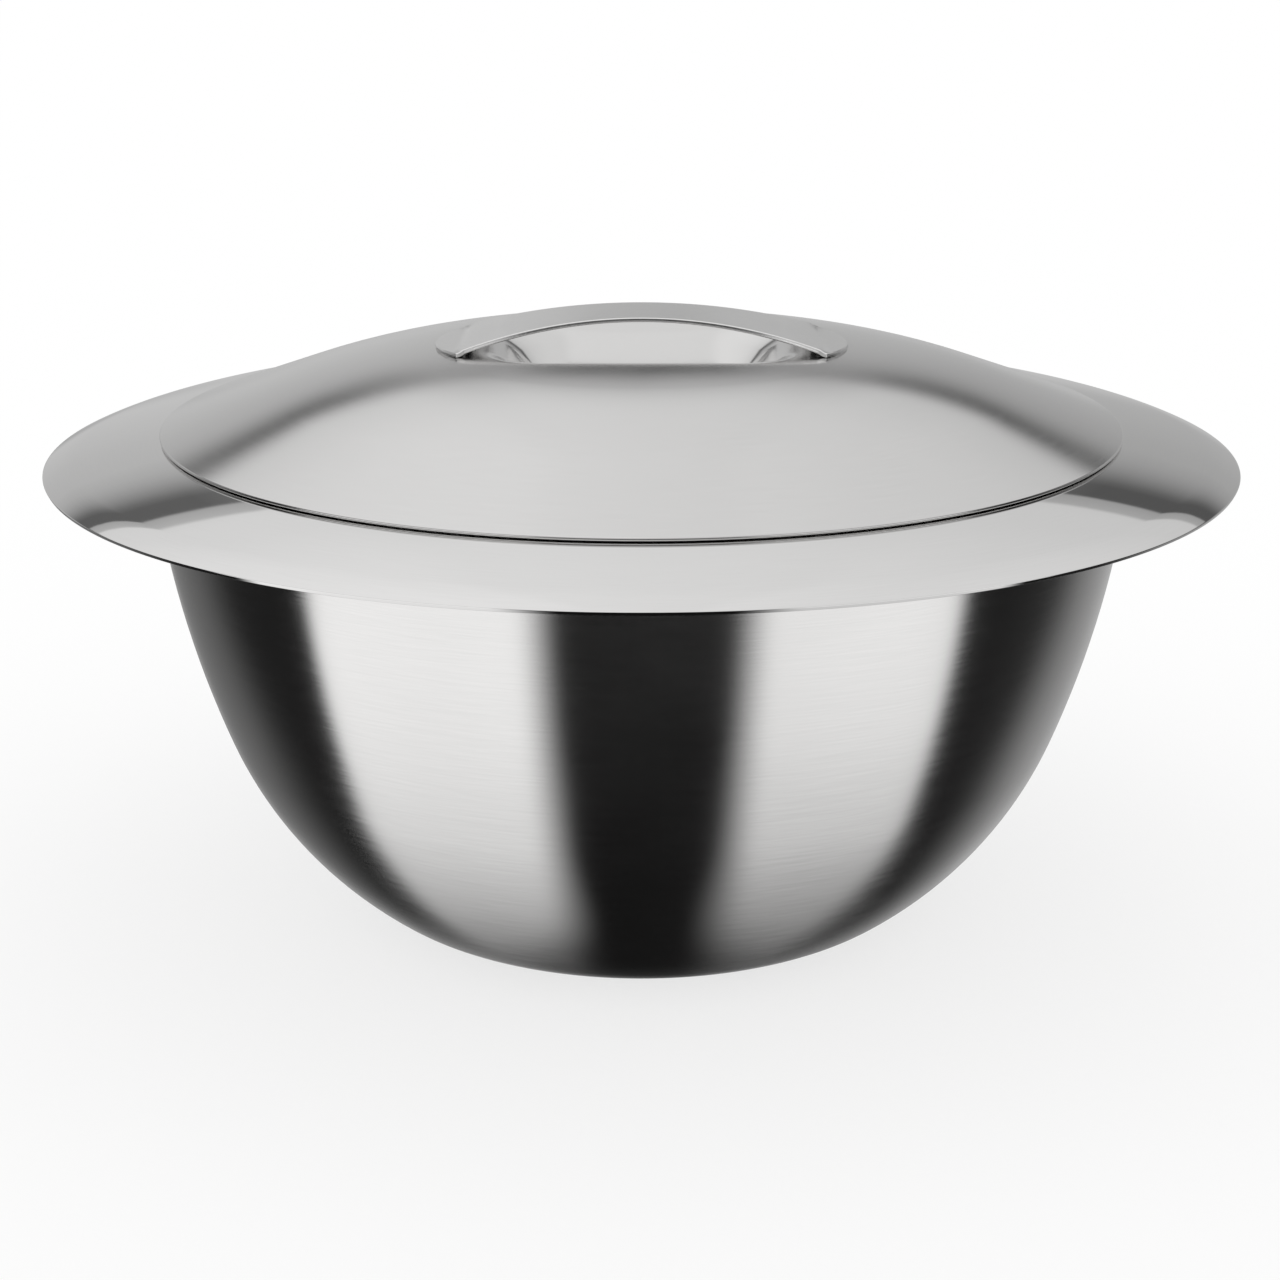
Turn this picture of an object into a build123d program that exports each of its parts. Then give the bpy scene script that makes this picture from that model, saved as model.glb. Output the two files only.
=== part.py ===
"""Insulated stainless bowl with a lift-off lid.

Millimetres. The origin is the middle of the foot, on the table, with +Z up. The bowl, its brim and the
lid are turned about Z; the lid's finger recess is longer along X, and the strap runs along X.
"""
import math
import os

from build123d import *

# Brim and bowl, outside form, with slopes in degrees from level
brim_radius = 160.0
brim_edge_height = 128.6
brim_width = 30.6
corner_radius = 35.0
corner_slope = 37.0
lower_wall_radius = 108.0
lower_wall_slope = 69.0
upper_wall_radius = 270.0

# Brim section
seat_slope = 8.5
brim_roll_width = 8.0
brim_roll_slope = 13.0
brim_edge_slope = 25.0

# Sheets, filling and clearances
outer_sheet = 0.8
inner_sheet = 1.0
insulation = 8.8
foam_gap = 0.3
weld_gap = 0.1

# Bowl joints
mouth_inset = 7.65
mouth_bend = 4.0
flange_bend = 2.5
flange_width = 5.0
foam_top_drop = 7.0

# Base cover and filling hole
base_recess_radius = 40.0
base_step_bend = 2.0
fill_hole_radius = 8.0
plug_fit = 0.1
plug_lip = 3.0
plug_head_height = 1.0
plug_shank_length = 4.0
plug_cover_gap = 0.2
disc_sheet = 0.7
disc_floor_gap = 0.7
disc_edge_gap = 1.0
disc_rim_width = 6.0
disc_step_bend = 1.5

# Lid edge and dome
lid_sheet = 0.4
pan_sheet = 0.3
hem_gap = 0.03
hem_end_gap = 0.3
hem_bend_gap = 1.2
rest_gap = 0.2
dome_edge_slope = 19.6
cone_width = 28.35
crown_radius = 600.0
crown_reach = 58.0

# Lid pan
skirt_gap = 1.5
pan_drop = 9.7
pan_corner = 6.0
pan_flange_bend = 2.0

# Finger recess, with its plan measured at the height of the crown, before the lip is rolled
recess_half_width = 30.0
recess_half_length = 40.0
recess_plan_radius = 21.0
recess_depth = 15.0
recess_wall_slope = 50.0
recess_corner = 8.0
lip_radius = 14.0

# Strap handle
strap_sheet = 1.2
strap_rise = 6.9
strap_half_span = 48.8
strap_step_run = 2.2
strap_sag = 7.04
strap_bend = 3.0
strap_bend_turn = 18.0
strap_foot = 6.9
strap_foot_slope = 4.9
strap_waist = 25.0
strap_end_width = 42.0

# Tolerance for closing an outline
join_tolerance = 1e-6


def sine(degrees):
    return math.sin(math.radians(degrees))


def cosine(degrees):
    return math.cos(math.radians(degrees))


def tangent(degrees):
    return math.tan(math.radians(degrees))


class Track:
    """Tangent lines and arcs walked in the plane of radius and height, like the section of a sheet."""

    def __init__(self, radius, height, heading=0.0):
        self.start = (radius, height)
        self.heading = heading
        self.steps = []

    def line(self, length):
        self.steps.append((length, 0.0, 0.0))
        return self

    def left(self, radius, turn):
        self.steps.append((0.0, radius, turn))
        return self

    def right(self, radius, turn):
        self.steps.append((0.0, radius, -turn))
        return self

    def edges(self, offset=0.0):
        """The walk's edges, shifted to its left by the offset."""
        heading = self.heading
        radius, height = self.start
        place = Vector(radius - offset * sine(heading), 0, height + offset * cosine(heading))
        run = []
        for length, bend, turn in self.steps:
            if turn == 0.0:
                finish = place + Vector(cosine(heading), 0, sine(heading)) * length
                run.append(Line(place, finish))
            else:
                side = math.copysign(1.0, turn)
                reach = bend - side * offset
                centre = place + Vector(-sine(heading), 0, cosine(heading)) * (side * reach)
                middle, finish = (
                    centre + Vector(sine(heading + part), 0, -cosine(heading + part)) * (side * reach)
                    for part in (turn / 2, turn)
                )
                run.append(ThreePointArc(place, middle, finish))
                heading += turn
            place = finish
        return run


def backwards(run):
    """The same edges walked from the other end."""
    return [edge.reversed() for edge in reversed(run)]


def face_of(*runs):
    """A face bounded by runs of edges, with a straight line wherever one run stops short of the next."""
    edges = []
    for run, following in zip(runs, runs[1:] + runs[:1]):
        edges += run
        if (following[0].start_point() - run[-1].end_point()).length > join_tolerance:
            edges.append(Line(run[-1].end_point(), following[0].start_point()))
    return Face(Wire(edges))


def turned(face):
    """The solid that a section sweeps about the vertical axis."""
    return revolve(face, Axis.Z, 360)


def sheet(track, thickness):
    """A turned sheet whose material lies to the left of its track, or to the right if negative."""
    return turned(face_of(track.edges(), backwards(track.edges(thickness))))


def meeting(centre_a, reach_a, centre_b, reach_b):
    """The outer of the two points that lie at given distances from two centres."""
    apart = centre_b - centre_a
    along = (apart.length ** 2 + reach_a ** 2 - reach_b ** 2) / (2 * apart.length)
    across = math.sqrt(reach_a ** 2 - along ** 2)
    unit = apart.normalized()
    square = Vector(-unit.Z, 0, unit.X)
    ends = [centre_a + unit * along + square * (side * across) for side in (-1, 1)]
    return max(ends, key=lambda point: point.X)


def angle_from_foot(centre, point):
    """Slope above level of a wall arc about its centre, where it faces the point."""
    return math.degrees(math.atan2(point.X - centre.X, centre.Z - point.Z))


def angle_from_crown(centre, point):
    """Slope below level of a dome arc about its centre, where it faces the point."""
    return math.degrees(math.atan2(point.X - centre.X, point.Z - centre.Z))


def step_turn(rise, bends):
    """Turn of each of two opposite bends, with radii that add up to a length, that make a step."""
    return math.degrees(math.acos(1 - rise / bends))


# Lid edge and brim section
hem_height = 2 * lid_sheet + pan_sheet + 2 * hem_gap
hem_radius = hem_height / 2
lid_edge_radius = brim_radius - brim_width
seat_radius = lid_edge_radius - hem_radius
brim_end_radius = brim_radius - inner_sheet / 2 * (1 - sine(brim_edge_slope))
brim_roll_radius = brim_end_radius - brim_roll_width
brim_arc = (brim_roll_radius - seat_radius) / (sine(brim_roll_slope) - sine(seat_slope))
roll_arc = brim_roll_width / (sine(brim_edge_slope) - sine(brim_roll_slope))
brim_roll_height = brim_edge_height + roll_arc * (cosine(brim_roll_slope) - cosine(brim_edge_slope))
seat_height = brim_roll_height + brim_arc * (cosine(seat_slope) - cosine(brim_roll_slope))
brim_centre = Vector(seat_radius, 0, seat_height) - Vector(sine(seat_slope), 0, cosine(seat_slope)) * brim_arc

# Wall arcs, concentric for both bowl shells and the filling
wall_build = outer_sheet + insulation + inner_sheet
mouth_radius = lid_edge_radius - mouth_inset
mouth_arc = upper_wall_radius - wall_build
wall_centre_height = (
    corner_radius * (1 - cosine(corner_slope))
    + lower_wall_radius * (cosine(corner_slope) - cosine(lower_wall_slope))
    + upper_wall_radius * cosine(lower_wall_slope)
)
mouth_slope = math.degrees(math.acos((wall_centre_height - seat_height) / mouth_arc))
wall_centre = Vector(mouth_radius - mouth_arc * sine(mouth_slope), 0, wall_centre_height)
foot_radius = (
    wall_centre.X
    + upper_wall_radius * sine(lower_wall_slope)
    - lower_wall_radius * (sine(lower_wall_slope) - sine(corner_slope))
    - corner_radius * sine(corner_slope)
)

# Base recess, deep enough for the plug's head and the cover
disc_dish = plug_head_height + plug_cover_gap
base_recess_rise = disc_floor_gap + disc_sheet + disc_dish
base_step_bends = 2 * base_step_bend + outer_sheet
base_step_turn = step_turn(base_recess_rise, base_step_bends)
base_step_width = base_step_bends * sine(base_step_turn)
plug_head_radius = fill_hole_radius + plug_lip

# Dome, resting on the brim by its folded edge
hem_rise = math.sqrt((brim_arc + rest_gap + hem_radius) ** 2 - (seat_radius - brim_centre.X) ** 2)
hem_centre = Vector(seat_radius, 0, brim_centre.Z + hem_rise)
cone_end = hem_centre + Vector(sine(dome_edge_slope), 0, cosine(dome_edge_slope)) * hem_radius
cone_length = cone_width / cosine(dome_edge_slope)
crown_slope = math.degrees(math.asin(crown_reach / crown_radius))
shoulder_width = cone_end.X - cone_width - crown_reach
shoulder_radius = shoulder_width / (sine(dome_edge_slope) - sine(crown_slope))
shoulder_rise = shoulder_radius * (cosine(crown_slope) - cosine(dome_edge_slope))
crown_rise = crown_radius * (1 - cosine(crown_slope))
crown_height = cone_end.Z + cone_width * tangent(dome_edge_slope) + shoulder_rise + crown_rise
recess_floor_height = crown_height - recess_depth

# Lid pan, with its flange along the middle of the folded edge
pan_height = seat_height - pan_drop
skirt_radius = mouth_radius - skirt_gap
pan_bend_radius = skirt_radius + pan_flange_bend
pan_bend_end = pan_bend_radius + pan_flange_bend * sine(dome_edge_slope)
flange_reach = (hem_centre.X - pan_bend_end) / cosine(dome_edge_slope)


def wall_track(inset, start_radius=0.0):
    """The foot, corner and lower wall at a given depth inside the outer surface."""
    track = Track(start_radius, inset)
    track.line(foot_radius - start_radius)
    track.left(corner_radius - inset, corner_slope)
    track.left(lower_wall_radius - inset, lower_wall_slope - corner_slope)
    return track


def bowl_outer_shell():
    """Brushed outer bowl with a recessed base, and a flange under the brim."""
    flange_arc = brim_arc - inner_sheet - weld_gap - outer_sheet
    bend_centre = meeting(wall_centre, upper_wall_radius + flange_bend, brim_centre, flange_arc - flange_bend)
    wall_end = angle_from_foot(wall_centre, bend_centre)
    flange_start = angle_from_crown(brim_centre, bend_centre)
    track = Track(fill_hole_radius, base_recess_rise)
    track.line(base_recess_radius - fill_hole_radius)
    track.right(base_step_bend, base_step_turn)
    track.left(base_step_bend + outer_sheet, base_step_turn)
    track.line(foot_radius - base_recess_radius - base_step_width)
    track.left(corner_radius, corner_slope)
    track.left(lower_wall_radius, lower_wall_slope - corner_slope)
    track.left(upper_wall_radius, wall_end - lower_wall_slope)
    track.right(flange_bend, wall_end + flange_start)
    track.right(flange_arc, math.degrees(flange_width / flange_arc))
    return sheet(track, outer_sheet)


def bowl_inner_shell():
    """Inner bowl and brim in one sheet, with a rounded outer edge."""
    bend_centre = meeting(wall_centre, mouth_arc + mouth_bend, brim_centre, brim_arc - mouth_bend)
    wall_end = angle_from_foot(wall_centre, bend_centre)
    brim_start = angle_from_crown(brim_centre, bend_centre)
    track = wall_track(wall_build)
    track.left(mouth_arc, wall_end - lower_wall_slope)
    track.right(mouth_bend, wall_end + brim_start)
    track.right(brim_arc, brim_roll_slope - brim_start)
    track.right(roll_arc, brim_edge_slope - brim_roll_slope)
    top = track.edges()
    under = backwards(track.edges(-inner_sheet))
    edge_start, edge_end = top[-1].end_point(), under[0].start_point()
    outwards = Vector(cosine(brim_edge_slope), 0, -sine(brim_edge_slope))
    edge_tip = (edge_start + edge_end) / 2 + outwards * (inner_sheet / 2)
    return turned(face_of(top, [ThreePointArc(edge_start, edge_tip, edge_end)], under))


def bowl_insulation():
    """Foam between the two bowl shells, clear of the base recess."""
    foam_top = seat_height - foam_top_drop
    runs = []
    for inset in (outer_sheet + foam_gap, wall_build - inner_sheet - foam_gap):
        arc = upper_wall_radius - inset
        top_slope = math.degrees(math.acos((wall_centre_height - foam_top) / arc))
        track = wall_track(inset, plug_head_radius)
        track.left(arc, top_slope - lower_wall_slope)
        runs.append(track.edges())
    foam = turned(face_of(runs[0], backwards(runs[1])))
    hollow_radius = base_recess_radius + base_step_width + foam_gap
    hollow_top = base_recess_rise + outer_sheet + foam_gap
    return foam - Pos(0, 0, hollow_top / 2) * Cylinder(hollow_radius, hollow_top)


def fill_plug():
    """Soft plug pressed into the filling hole, its head under the base."""
    shank = Pos(0, 0, base_recess_rise) * Cylinder(
        fill_hole_radius - plug_fit, plug_shank_length, align=(Align.CENTER, Align.CENTER, Align.MIN)
    )
    head = Pos(0, 0, base_recess_rise) * Cylinder(
        plug_head_radius, plug_head_height, align=(Align.CENTER, Align.CENTER, Align.MAX)
    )
    return shank + head


def base_disc():
    """Dished cover welded by its rim to the recessed base, hiding the plug."""
    bends = 2 * disc_step_bend + disc_sheet
    turn = step_turn(disc_dish, bends)
    rim_radius = base_recess_radius - disc_edge_gap
    track = Track(0.0, disc_floor_gap)
    track.line(rim_radius - disc_rim_width - bends * sine(turn))
    track.left(disc_step_bend + disc_sheet, turn)
    track.right(disc_step_bend, turn)
    track.line(disc_rim_width)
    return sheet(track, disc_sheet)


def under_dome(depth, base_height):
    """The turned volume from a level up to the dome, ending square to the sheet at the folded edge."""
    track = Track(0.0, crown_height)
    track.right(crown_radius, crown_slope)
    track.right(shoulder_radius, dome_edge_slope - crown_slope)
    track.line(cone_length)
    top = track.edges(-depth)
    rim = top[-1].end_point()
    foot = rim - Vector(tangent(dome_edge_slope), 0, 1) * (rim.Z - base_height)
    return turned(face_of(top, [Line(rim, foot), Line(foot, (0, 0, base_height))]))


def recess_hollow(depth):
    """The hollow of the finger recess before its lip is rolled, grown by a depth."""
    growth = depth * tangent(recess_wall_slope / 2) - recess_depth / tangent(recess_wall_slope)
    floor = RectangleRounded(
        2 * (recess_half_length + growth), 2 * (recess_half_width + growth), recess_plan_radius + growth
    )
    floor = Pos(0, 0, recess_floor_height - depth) * floor
    hollow = extrude(floor, amount=2 * recess_depth, taper=recess_wall_slope - 90)
    return fillet(hollow.edges().group_by(Axis.Z)[0], recess_corner + depth)


def lid_form(depth, base_height):
    """What lies under the dome and its recess, at a depth below the lid's top surface."""
    form = under_dome(depth, base_height) - recess_hollow(depth)
    lip_level = crown_height - recess_depth / 2
    lip_reach = (recess_half_length + crown_reach) / 2
    boxes = ((edge, edge.bounding_box()) for edge in form.edges())
    lip = [edge for edge, box in boxes if box.min.Z > lip_level and box.max.X < lip_reach]
    return fillet(lip, lip_radius - depth)


def lid_outer_shell():
    """Dome with the pressed recess, its edge folded under the pan's flange."""
    dome = lid_form(0.0, pan_height) - lid_form(lid_sheet, pan_height)
    fold = Track(cone_end.X, cone_end.Z, -dome_edge_slope)
    fold.right(hem_radius, 180)
    fold.line(flange_reach - hem_bend_gap)
    return dome + sheet(fold, -lid_sheet)


def pan_track():
    """The pan's outer surface: flat underside, corner and upright skirt."""
    flange_middle = hem_centre.Z + (hem_centre.X - pan_bend_radius) * tangent(dome_edge_slope)
    skirt_top = flange_middle - (pan_sheet / 2 + pan_flange_bend) / cosine(dome_edge_slope)
    track = Track(0.0, pan_height)
    track.line(skirt_radius - pan_corner)
    track.left(pan_corner, 90)
    track.line(skirt_top - pan_height - pan_corner)
    return track


def lid_inner_pan():
    """Underside of the lid, with the skirt that centres it and the flange held in the folded edge."""
    track = pan_track()
    track.right(pan_flange_bend, 90 + dome_edge_slope)
    track.line(flange_reach - hem_end_gap)
    return sheet(track, pan_sheet)


def lid_insulation():
    """Foam between the dome and the pan, round the recess."""
    lift = pan_sheet + foam_gap
    pan_side = pan_track().edges(lift)
    cover = Line((pan_side[-1].end_point().X, 0, crown_height), (0, 0, crown_height))
    return lid_form(lid_sheet + foam_gap, pan_height + lift) & turned(face_of(pan_side, [cover]))


def handle_strap():
    """Waisted strap arched over the recess, with a step down to rounded feet trimmed to the crown."""
    arch_reach = strap_half_span - strap_step_run
    arch_radius = (arch_reach ** 2 + strap_sag ** 2) / (2 * strap_sag)
    arch_slope = math.degrees(math.asin(arch_reach / arch_radius))
    track = Track(0.0, crown_height + strap_rise)
    track.right(arch_radius, arch_slope)
    track.right(strap_bend, strap_bend_turn)
    track.left(strap_bend, arch_slope + strap_bend_turn - strap_foot_slope)
    track.line(2 * strap_foot)
    section = face_of(track.edges(), backwards(track.edges(-strap_sheet)))
    half_band = extrude(section, amount=strap_end_width, both=True)
    band = half_band + half_band.mirror(Plane.YZ)
    corners = [
        (strap_half_span * out, strap_end_width / 2 * across)
        for out, across in ((-1, -1), (1, -1), (1, 1), (-1, 1))
    ]
    middles = [
        (0, -strap_waist / 2), (strap_half_span + strap_foot, 0),
        (0, strap_waist / 2), (-strap_half_span - strap_foot, 0),
    ]
    sides = [
        ThreePointArc(start, middle, finish)
        for start, middle, finish in zip(corners, middles, corners[1:] + corners[:1])
    ]
    plan = extrude(Face(Wire(sides)), amount=crown_height + 2 * strap_rise)
    return (band & plan) - Pos(0, 0, weld_gap) * lid_form(0.0, pan_height)


parts = {
    "bowl_outer_shell": bowl_outer_shell(),
    "bowl_inner_shell": bowl_inner_shell(),
    "bowl_insulation": bowl_insulation(),
    "fill_plug": fill_plug(),
    "base_disc": base_disc(),
    "lid_outer_shell": lid_outer_shell(),
    "lid_inner_pan": lid_inner_pan(),
    "lid_insulation": lid_insulation(),
    "handle_strap": handle_strap(),
}

os.makedirs("parts", exist_ok=True)
for name, solid in parts.items():
    export_step(solid, f"parts/{name}.step")
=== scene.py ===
"""Dress of an insulated steel serving bowl and its domed lid.

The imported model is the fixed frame, in metres: the origin is the middle of the foot, +Z is up and +X runs
along the strap handle. Sections are worked out in millimetres, as on a drawing, and become metres in the
meshes. Slopes and turns are in degrees.
"""

import logging
import math
from dataclasses import dataclass
from enum import Enum
from functools import cached_property
from typing import Optional, Sequence, Union

import bmesh
import bpy
import numpy as np
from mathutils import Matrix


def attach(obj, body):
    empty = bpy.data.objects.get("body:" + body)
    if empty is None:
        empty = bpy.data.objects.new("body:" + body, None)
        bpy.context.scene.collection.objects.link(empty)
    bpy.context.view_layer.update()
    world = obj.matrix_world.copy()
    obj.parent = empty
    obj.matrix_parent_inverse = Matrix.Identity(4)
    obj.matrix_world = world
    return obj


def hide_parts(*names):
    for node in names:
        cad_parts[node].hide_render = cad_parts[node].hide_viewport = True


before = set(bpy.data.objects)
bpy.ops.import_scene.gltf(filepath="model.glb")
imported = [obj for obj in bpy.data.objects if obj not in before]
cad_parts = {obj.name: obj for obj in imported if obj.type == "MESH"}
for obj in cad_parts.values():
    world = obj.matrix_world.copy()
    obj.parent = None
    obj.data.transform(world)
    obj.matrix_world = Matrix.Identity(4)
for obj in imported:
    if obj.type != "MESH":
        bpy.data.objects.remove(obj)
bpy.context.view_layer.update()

LOG = logging.getLogger("bowl")

# Millimetre in metres
MM = 0.001

# Fineness of the meshes: steps round the axis, height of a chord over its arc and the largest step of a bend
AZIMUTHS = 256
CHORD_SAG = 0.012
BEND_STEP = 9.0

# Fineness of the lid's recess: shares of the flat floor, and points in each stretch of its section
FLOOR_SHARES = (0.0, 0.4, 0.75, 1.0)
CORNER_STEPS = 8
WALL_STEPS = 5
LIP_STEPS = 16
CROWN_STEPS = 8
EDGE_STEPS = 9

# Halvings that find where a line of the strap ends, within so many feet beyond the span
BISECTIONS = 24
SEARCH_FEET = 3

# Radius below which a point lies on the axis
ON_AXIS = 1e-6

# Azimuths of a ring's points in radians, the level directions there and the direction of the axis
TURNS = np.arange(AZIMUTHS) * (2 * math.pi / AZIMUTHS)
WAYS = np.stack([np.cos(TURNS), np.sin(TURNS), np.zeros(AZIMUTHS)], axis=1)
UP = np.array([0.0, 0.0, 1.0])

# Noise of fine marks and of haze: its detail, the gain of finer detail, and the range of it that is used
MARK_DETAIL, MARK_GAIN, MARK_RANGE = 3.0, 0.6, (0.25, 0.75)
HAZE_DETAIL, HAZE_RANGE = 4.0, (0.3, 0.7)

# Quarter of a whole turn
QUARTER = 0.25

Colour = tuple[float, float, float]
Value = Union[float, bpy.types.NodeSocket]


def sine(degrees: float) -> float:
    """Sine of an angle in degrees."""
    return math.sin(math.radians(degrees))


def cosine(degrees: float) -> float:
    """Cosine of an angle in degrees."""
    return math.cos(math.radians(degrees))


def tangent(degrees: float) -> float:
    """Tangent of an angle in degrees."""
    return math.tan(math.radians(degrees))


class Face(Enum):
    """Side of a walk on which the face of a sheet looks out."""

    LEFT = 1.0
    RIGHT = -1.0


class Ends(Enum):
    """How the first and last rings of a skin are closed."""

    JOINED = "joined"
    CAPPED = "capped"


@dataclass(frozen=True)
class Spot:
    """A point of a section in millimetres, with the normal of its face and the finish it belongs to."""

    radius: float
    height: float
    normal_out: float
    normal_up: float
    zone: int = 0

    def behind(self, thickness: float) -> "Spot":
        """The point on the other face of a sheet, looking the other way.

        Args:
            thickness: Thickness of the sheet.

        Returns:
            The point straight behind this one.
        """
        return Spot(
            self.radius - thickness * self.normal_out,
            self.height - thickness * self.normal_up,
            -self.normal_out,
            -self.normal_up,
            self.zone,
        )


class Walk:
    """A sheet's section, walked along tangent lines and arcs in the plane of radius and height."""

    def __init__(self, radius: float, height: float, heading: float = 0.0, face: Face = Face.LEFT) -> None:
        """Starts a walk.

        Args:
            radius: Radius of the start.
            height: Height of the start.
            heading: Direction of the first step, above level.
            face: Side on which the face of the sheet looks out.
        """
        self.radius = radius
        self.height = height
        self.heading = heading
        self.first_heading = heading
        self.face = face
        self.zone = 0
        self.spots = [self._spot()]

    def _spot(self) -> Spot:
        """The present place with the normal of the face there."""
        side, heading = self.face.value, self.heading
        return Spot(self.radius, self.height, -side * sine(heading), side * cosine(heading), self.zone)

    def in_zone(self, zone: int) -> "Walk":
        """Gives what follows another finish."""
        self.zone = zone
        return self

    def line(self, length: float) -> "Walk":
        """Walks straight on.

        Args:
            length: Length of the run.

        Returns:
            The same walk.
        """
        self.radius += length * cosine(self.heading)
        self.height += length * sine(self.heading)
        self.spots.append(self._spot())
        return self

    def turn(self, bend: float, degrees: float) -> "Walk":
        """Walks along an arc, to the left for a positive turn and to the right for a negative one.

        Args:
            bend: Radius of the arc.
            degrees: Turn of the arc.

        Returns:
            The same walk.
        """
        side = math.copysign(1.0, degrees)
        step = min(BEND_STEP, 2 * math.degrees(math.acos(1 - CHORD_SAG / bend)))
        count = max(2, math.ceil(abs(degrees) / step))
        start = self.heading
        centre_radius = self.radius - side * bend * sine(start)
        centre_height = self.height + side * bend * cosine(start)
        for part in range(1, count + 1):
            self.heading = start + degrees * part / count
            self.radius = centre_radius + side * bend * sine(self.heading)
            self.height = centre_height - side * bend * cosine(self.heading)
            self.spots.append(self._spot())
        return self

    def sheet(self, thickness: float, end_corner: Optional[float] = None) -> list[Spot]:
        """The closed section of a sheet behind the walked face.

        Args:
            thickness: Thickness of the sheet.
            end_corner: Radius of the corners at the walk's end, if that isn't a half round.

        Returns:
            The points round the section, with a rounded end wherever the walk doesn't stop on the axis.
        """
        loop = list(self.spots)
        back = [spot.behind(thickness) for spot in reversed(self.spots)]
        if loop[-1].radius > ON_AXIS:
            loop += rounded_end(loop[-1], self.heading, thickness, end_corner or thickness / 2)
        loop += back
        if self.spots[0].radius > ON_AXIS:
            loop += rounded_end(back[-1], self.first_heading + 180, thickness, thickness / 2)
        return loop


def rounded_end(spot: Spot, heading: float, thickness: float, corner: float) -> list[Spot]:
    """The end of a sheet, which reaches as far out as a half round whatever its corners are.

    Args:
        spot: Last point of the face that the sheet ends at.
        heading: Direction in which the sheet ends.
        thickness: Thickness of the sheet.
        corner: Radius of the end's corners.

    Returns:
        The points between that face and the one behind it.
    """
    half = thickness / 2
    flat = half - corner
    on_out, on_up = cosine(heading), sine(heading)
    onward = flat * (1 - spot.normal_out) / on_out if flat else 0.0
    middle_radius = spot.radius - half * spot.normal_out + onward * on_out
    middle_height = spot.height - half * spot.normal_up + onward * on_up
    swings = np.linspace(0, 90, math.ceil(90 / (2 * BEND_STEP)) + 1)
    spots = []
    for side, turn in [(flat, swing) for swing in swings] + [(-flat, 90 + swing) for swing in swings]:
        normal_out = spot.normal_out * cosine(turn) + on_out * sine(turn)
        normal_up = spot.normal_up * cosine(turn) + on_up * sine(turn)
        place = (middle_radius + side * spot.normal_out + corner * normal_out,
                 middle_height + side * spot.normal_up + corner * normal_up)
        spots.append(Spot(*place, normal_out, normal_up, spot.zone))
    return spots[1:-1]


@dataclass
class Ring:
    """Points of a skin, with their normals, that lie in one round: arrays of one row for each point."""

    points: np.ndarray
    normals: np.ndarray
    zone: int = 0


def turned_ring(spot: Spot) -> Ring:
    """The ring that a point of a section sweeps about the axis.

    Args:
        spot: Point of the section.

    Returns:
        The ring, or one point if it lies on the axis.
    """
    if spot.radius <= ON_AXIS:
        return Ring(np.array([[0, 0, spot.height]]), np.array([[0, 0, spot.normal_up]]), spot.zone)
    points = spot.radius * WAYS + spot.height * UP
    normals = spot.normal_out * WAYS + spot.normal_up * UP
    return Ring(points, normals, spot.zone)


def band(first: int, count: int, second: int, other: int) -> list[tuple[int, ...]]:
    """The faces between two rings.

    Args:
        first: Number of the first ring's first point.
        count: Points in the first ring.
        second: Number of the second ring's first point.
        other: Points in the second ring.

    Returns:
        Quads, or triangles where one of the rings is a single point.
    """
    around = max(count, other)
    faces = []
    for here in range(around):
        there = (here + 1) % around
        corners = [first + here % count, first + there % count, second + there % other, second + here % other]
        faces.append(tuple(dict.fromkeys(corners)))
    return faces


def looks_in(face: tuple[int, ...], points: np.ndarray, normals: np.ndarray) -> bool:
    """Tells whether a face looks against the normals of its corners.

    Args:
        face: Numbers of the corners.
        points: All points.
        normals: All normals.

    Returns:
        True if the corners' order has to be turned round.
    """
    corners = points[list(face)]
    across = np.cross(corners[1] - corners[0], corners[-1] - corners[0])
    return float(np.dot(across, normals[list(face)].sum(axis=0))) < 0


def skin(name: str, rings: Sequence[Ring], ends: Ends = Ends.JOINED) -> bpy.types.Object:
    """Builds a closed mesh through rings of points, with the exact normals of the drawn surface.

    Args:
        name: Name of the piece.
        rings: The rings in order, in millimetres.
        ends: How the first and last rings are closed.

    Returns:
        The new object, in metres.
    """
    points = np.concatenate([ring.points for ring in rings])
    normals = np.concatenate([ring.normals for ring in rings])
    starts = np.cumsum([0] + [len(ring.points) for ring in rings])
    pairs = [(here, here + 1) for here in range(len(rings) - 1)]
    if ends is Ends.JOINED and len(rings[0].points) > 1:
        pairs.append((len(rings) - 1, 0))
    faces: list[tuple[int, ...]] = []
    zones: list[int] = []
    for here, there in pairs:
        strip = band(int(starts[here]), len(rings[here].points), int(starts[there]), len(rings[there].points))
        strip = [face for face in strip if len(face) > 2]
        if strip and looks_in(strip[0], points, normals):
            strip = [face[::-1] for face in strip]
        faces += strip
        zones += [max(rings[here].zone, rings[there].zone)] * len(strip)
    if ends is Ends.CAPPED:
        for ring, inwards in ((0, rings[1]), (len(rings) - 1, rings[-2])):
            cap = tuple(range(int(starts[ring]), int(starts[ring + 1])))
            outwards = rings[ring].points.mean(axis=0) - inwards.points.mean(axis=0)
            corners = rings[ring].points
            across = np.cross(corners, np.roll(corners, -1, axis=0)).sum(axis=0)
            faces.append(cap if float(np.dot(across, outwards)) > 0 else cap[::-1])
            zones.append(rings[ring].zone)
    mesh = bpy.data.meshes.new(name)
    mesh.from_pydata((points * MM).tolist(), [], faces)
    mesh.polygons.foreach_set("material_index", zones)
    mesh.polygons.foreach_set("use_smooth", [True] * len(faces))
    mesh.normals_split_custom_set_from_vertices(normals.tolist())
    piece = bpy.data.objects.new(name, mesh)
    bpy.context.scene.collection.objects.link(piece)
    return piece


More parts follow.
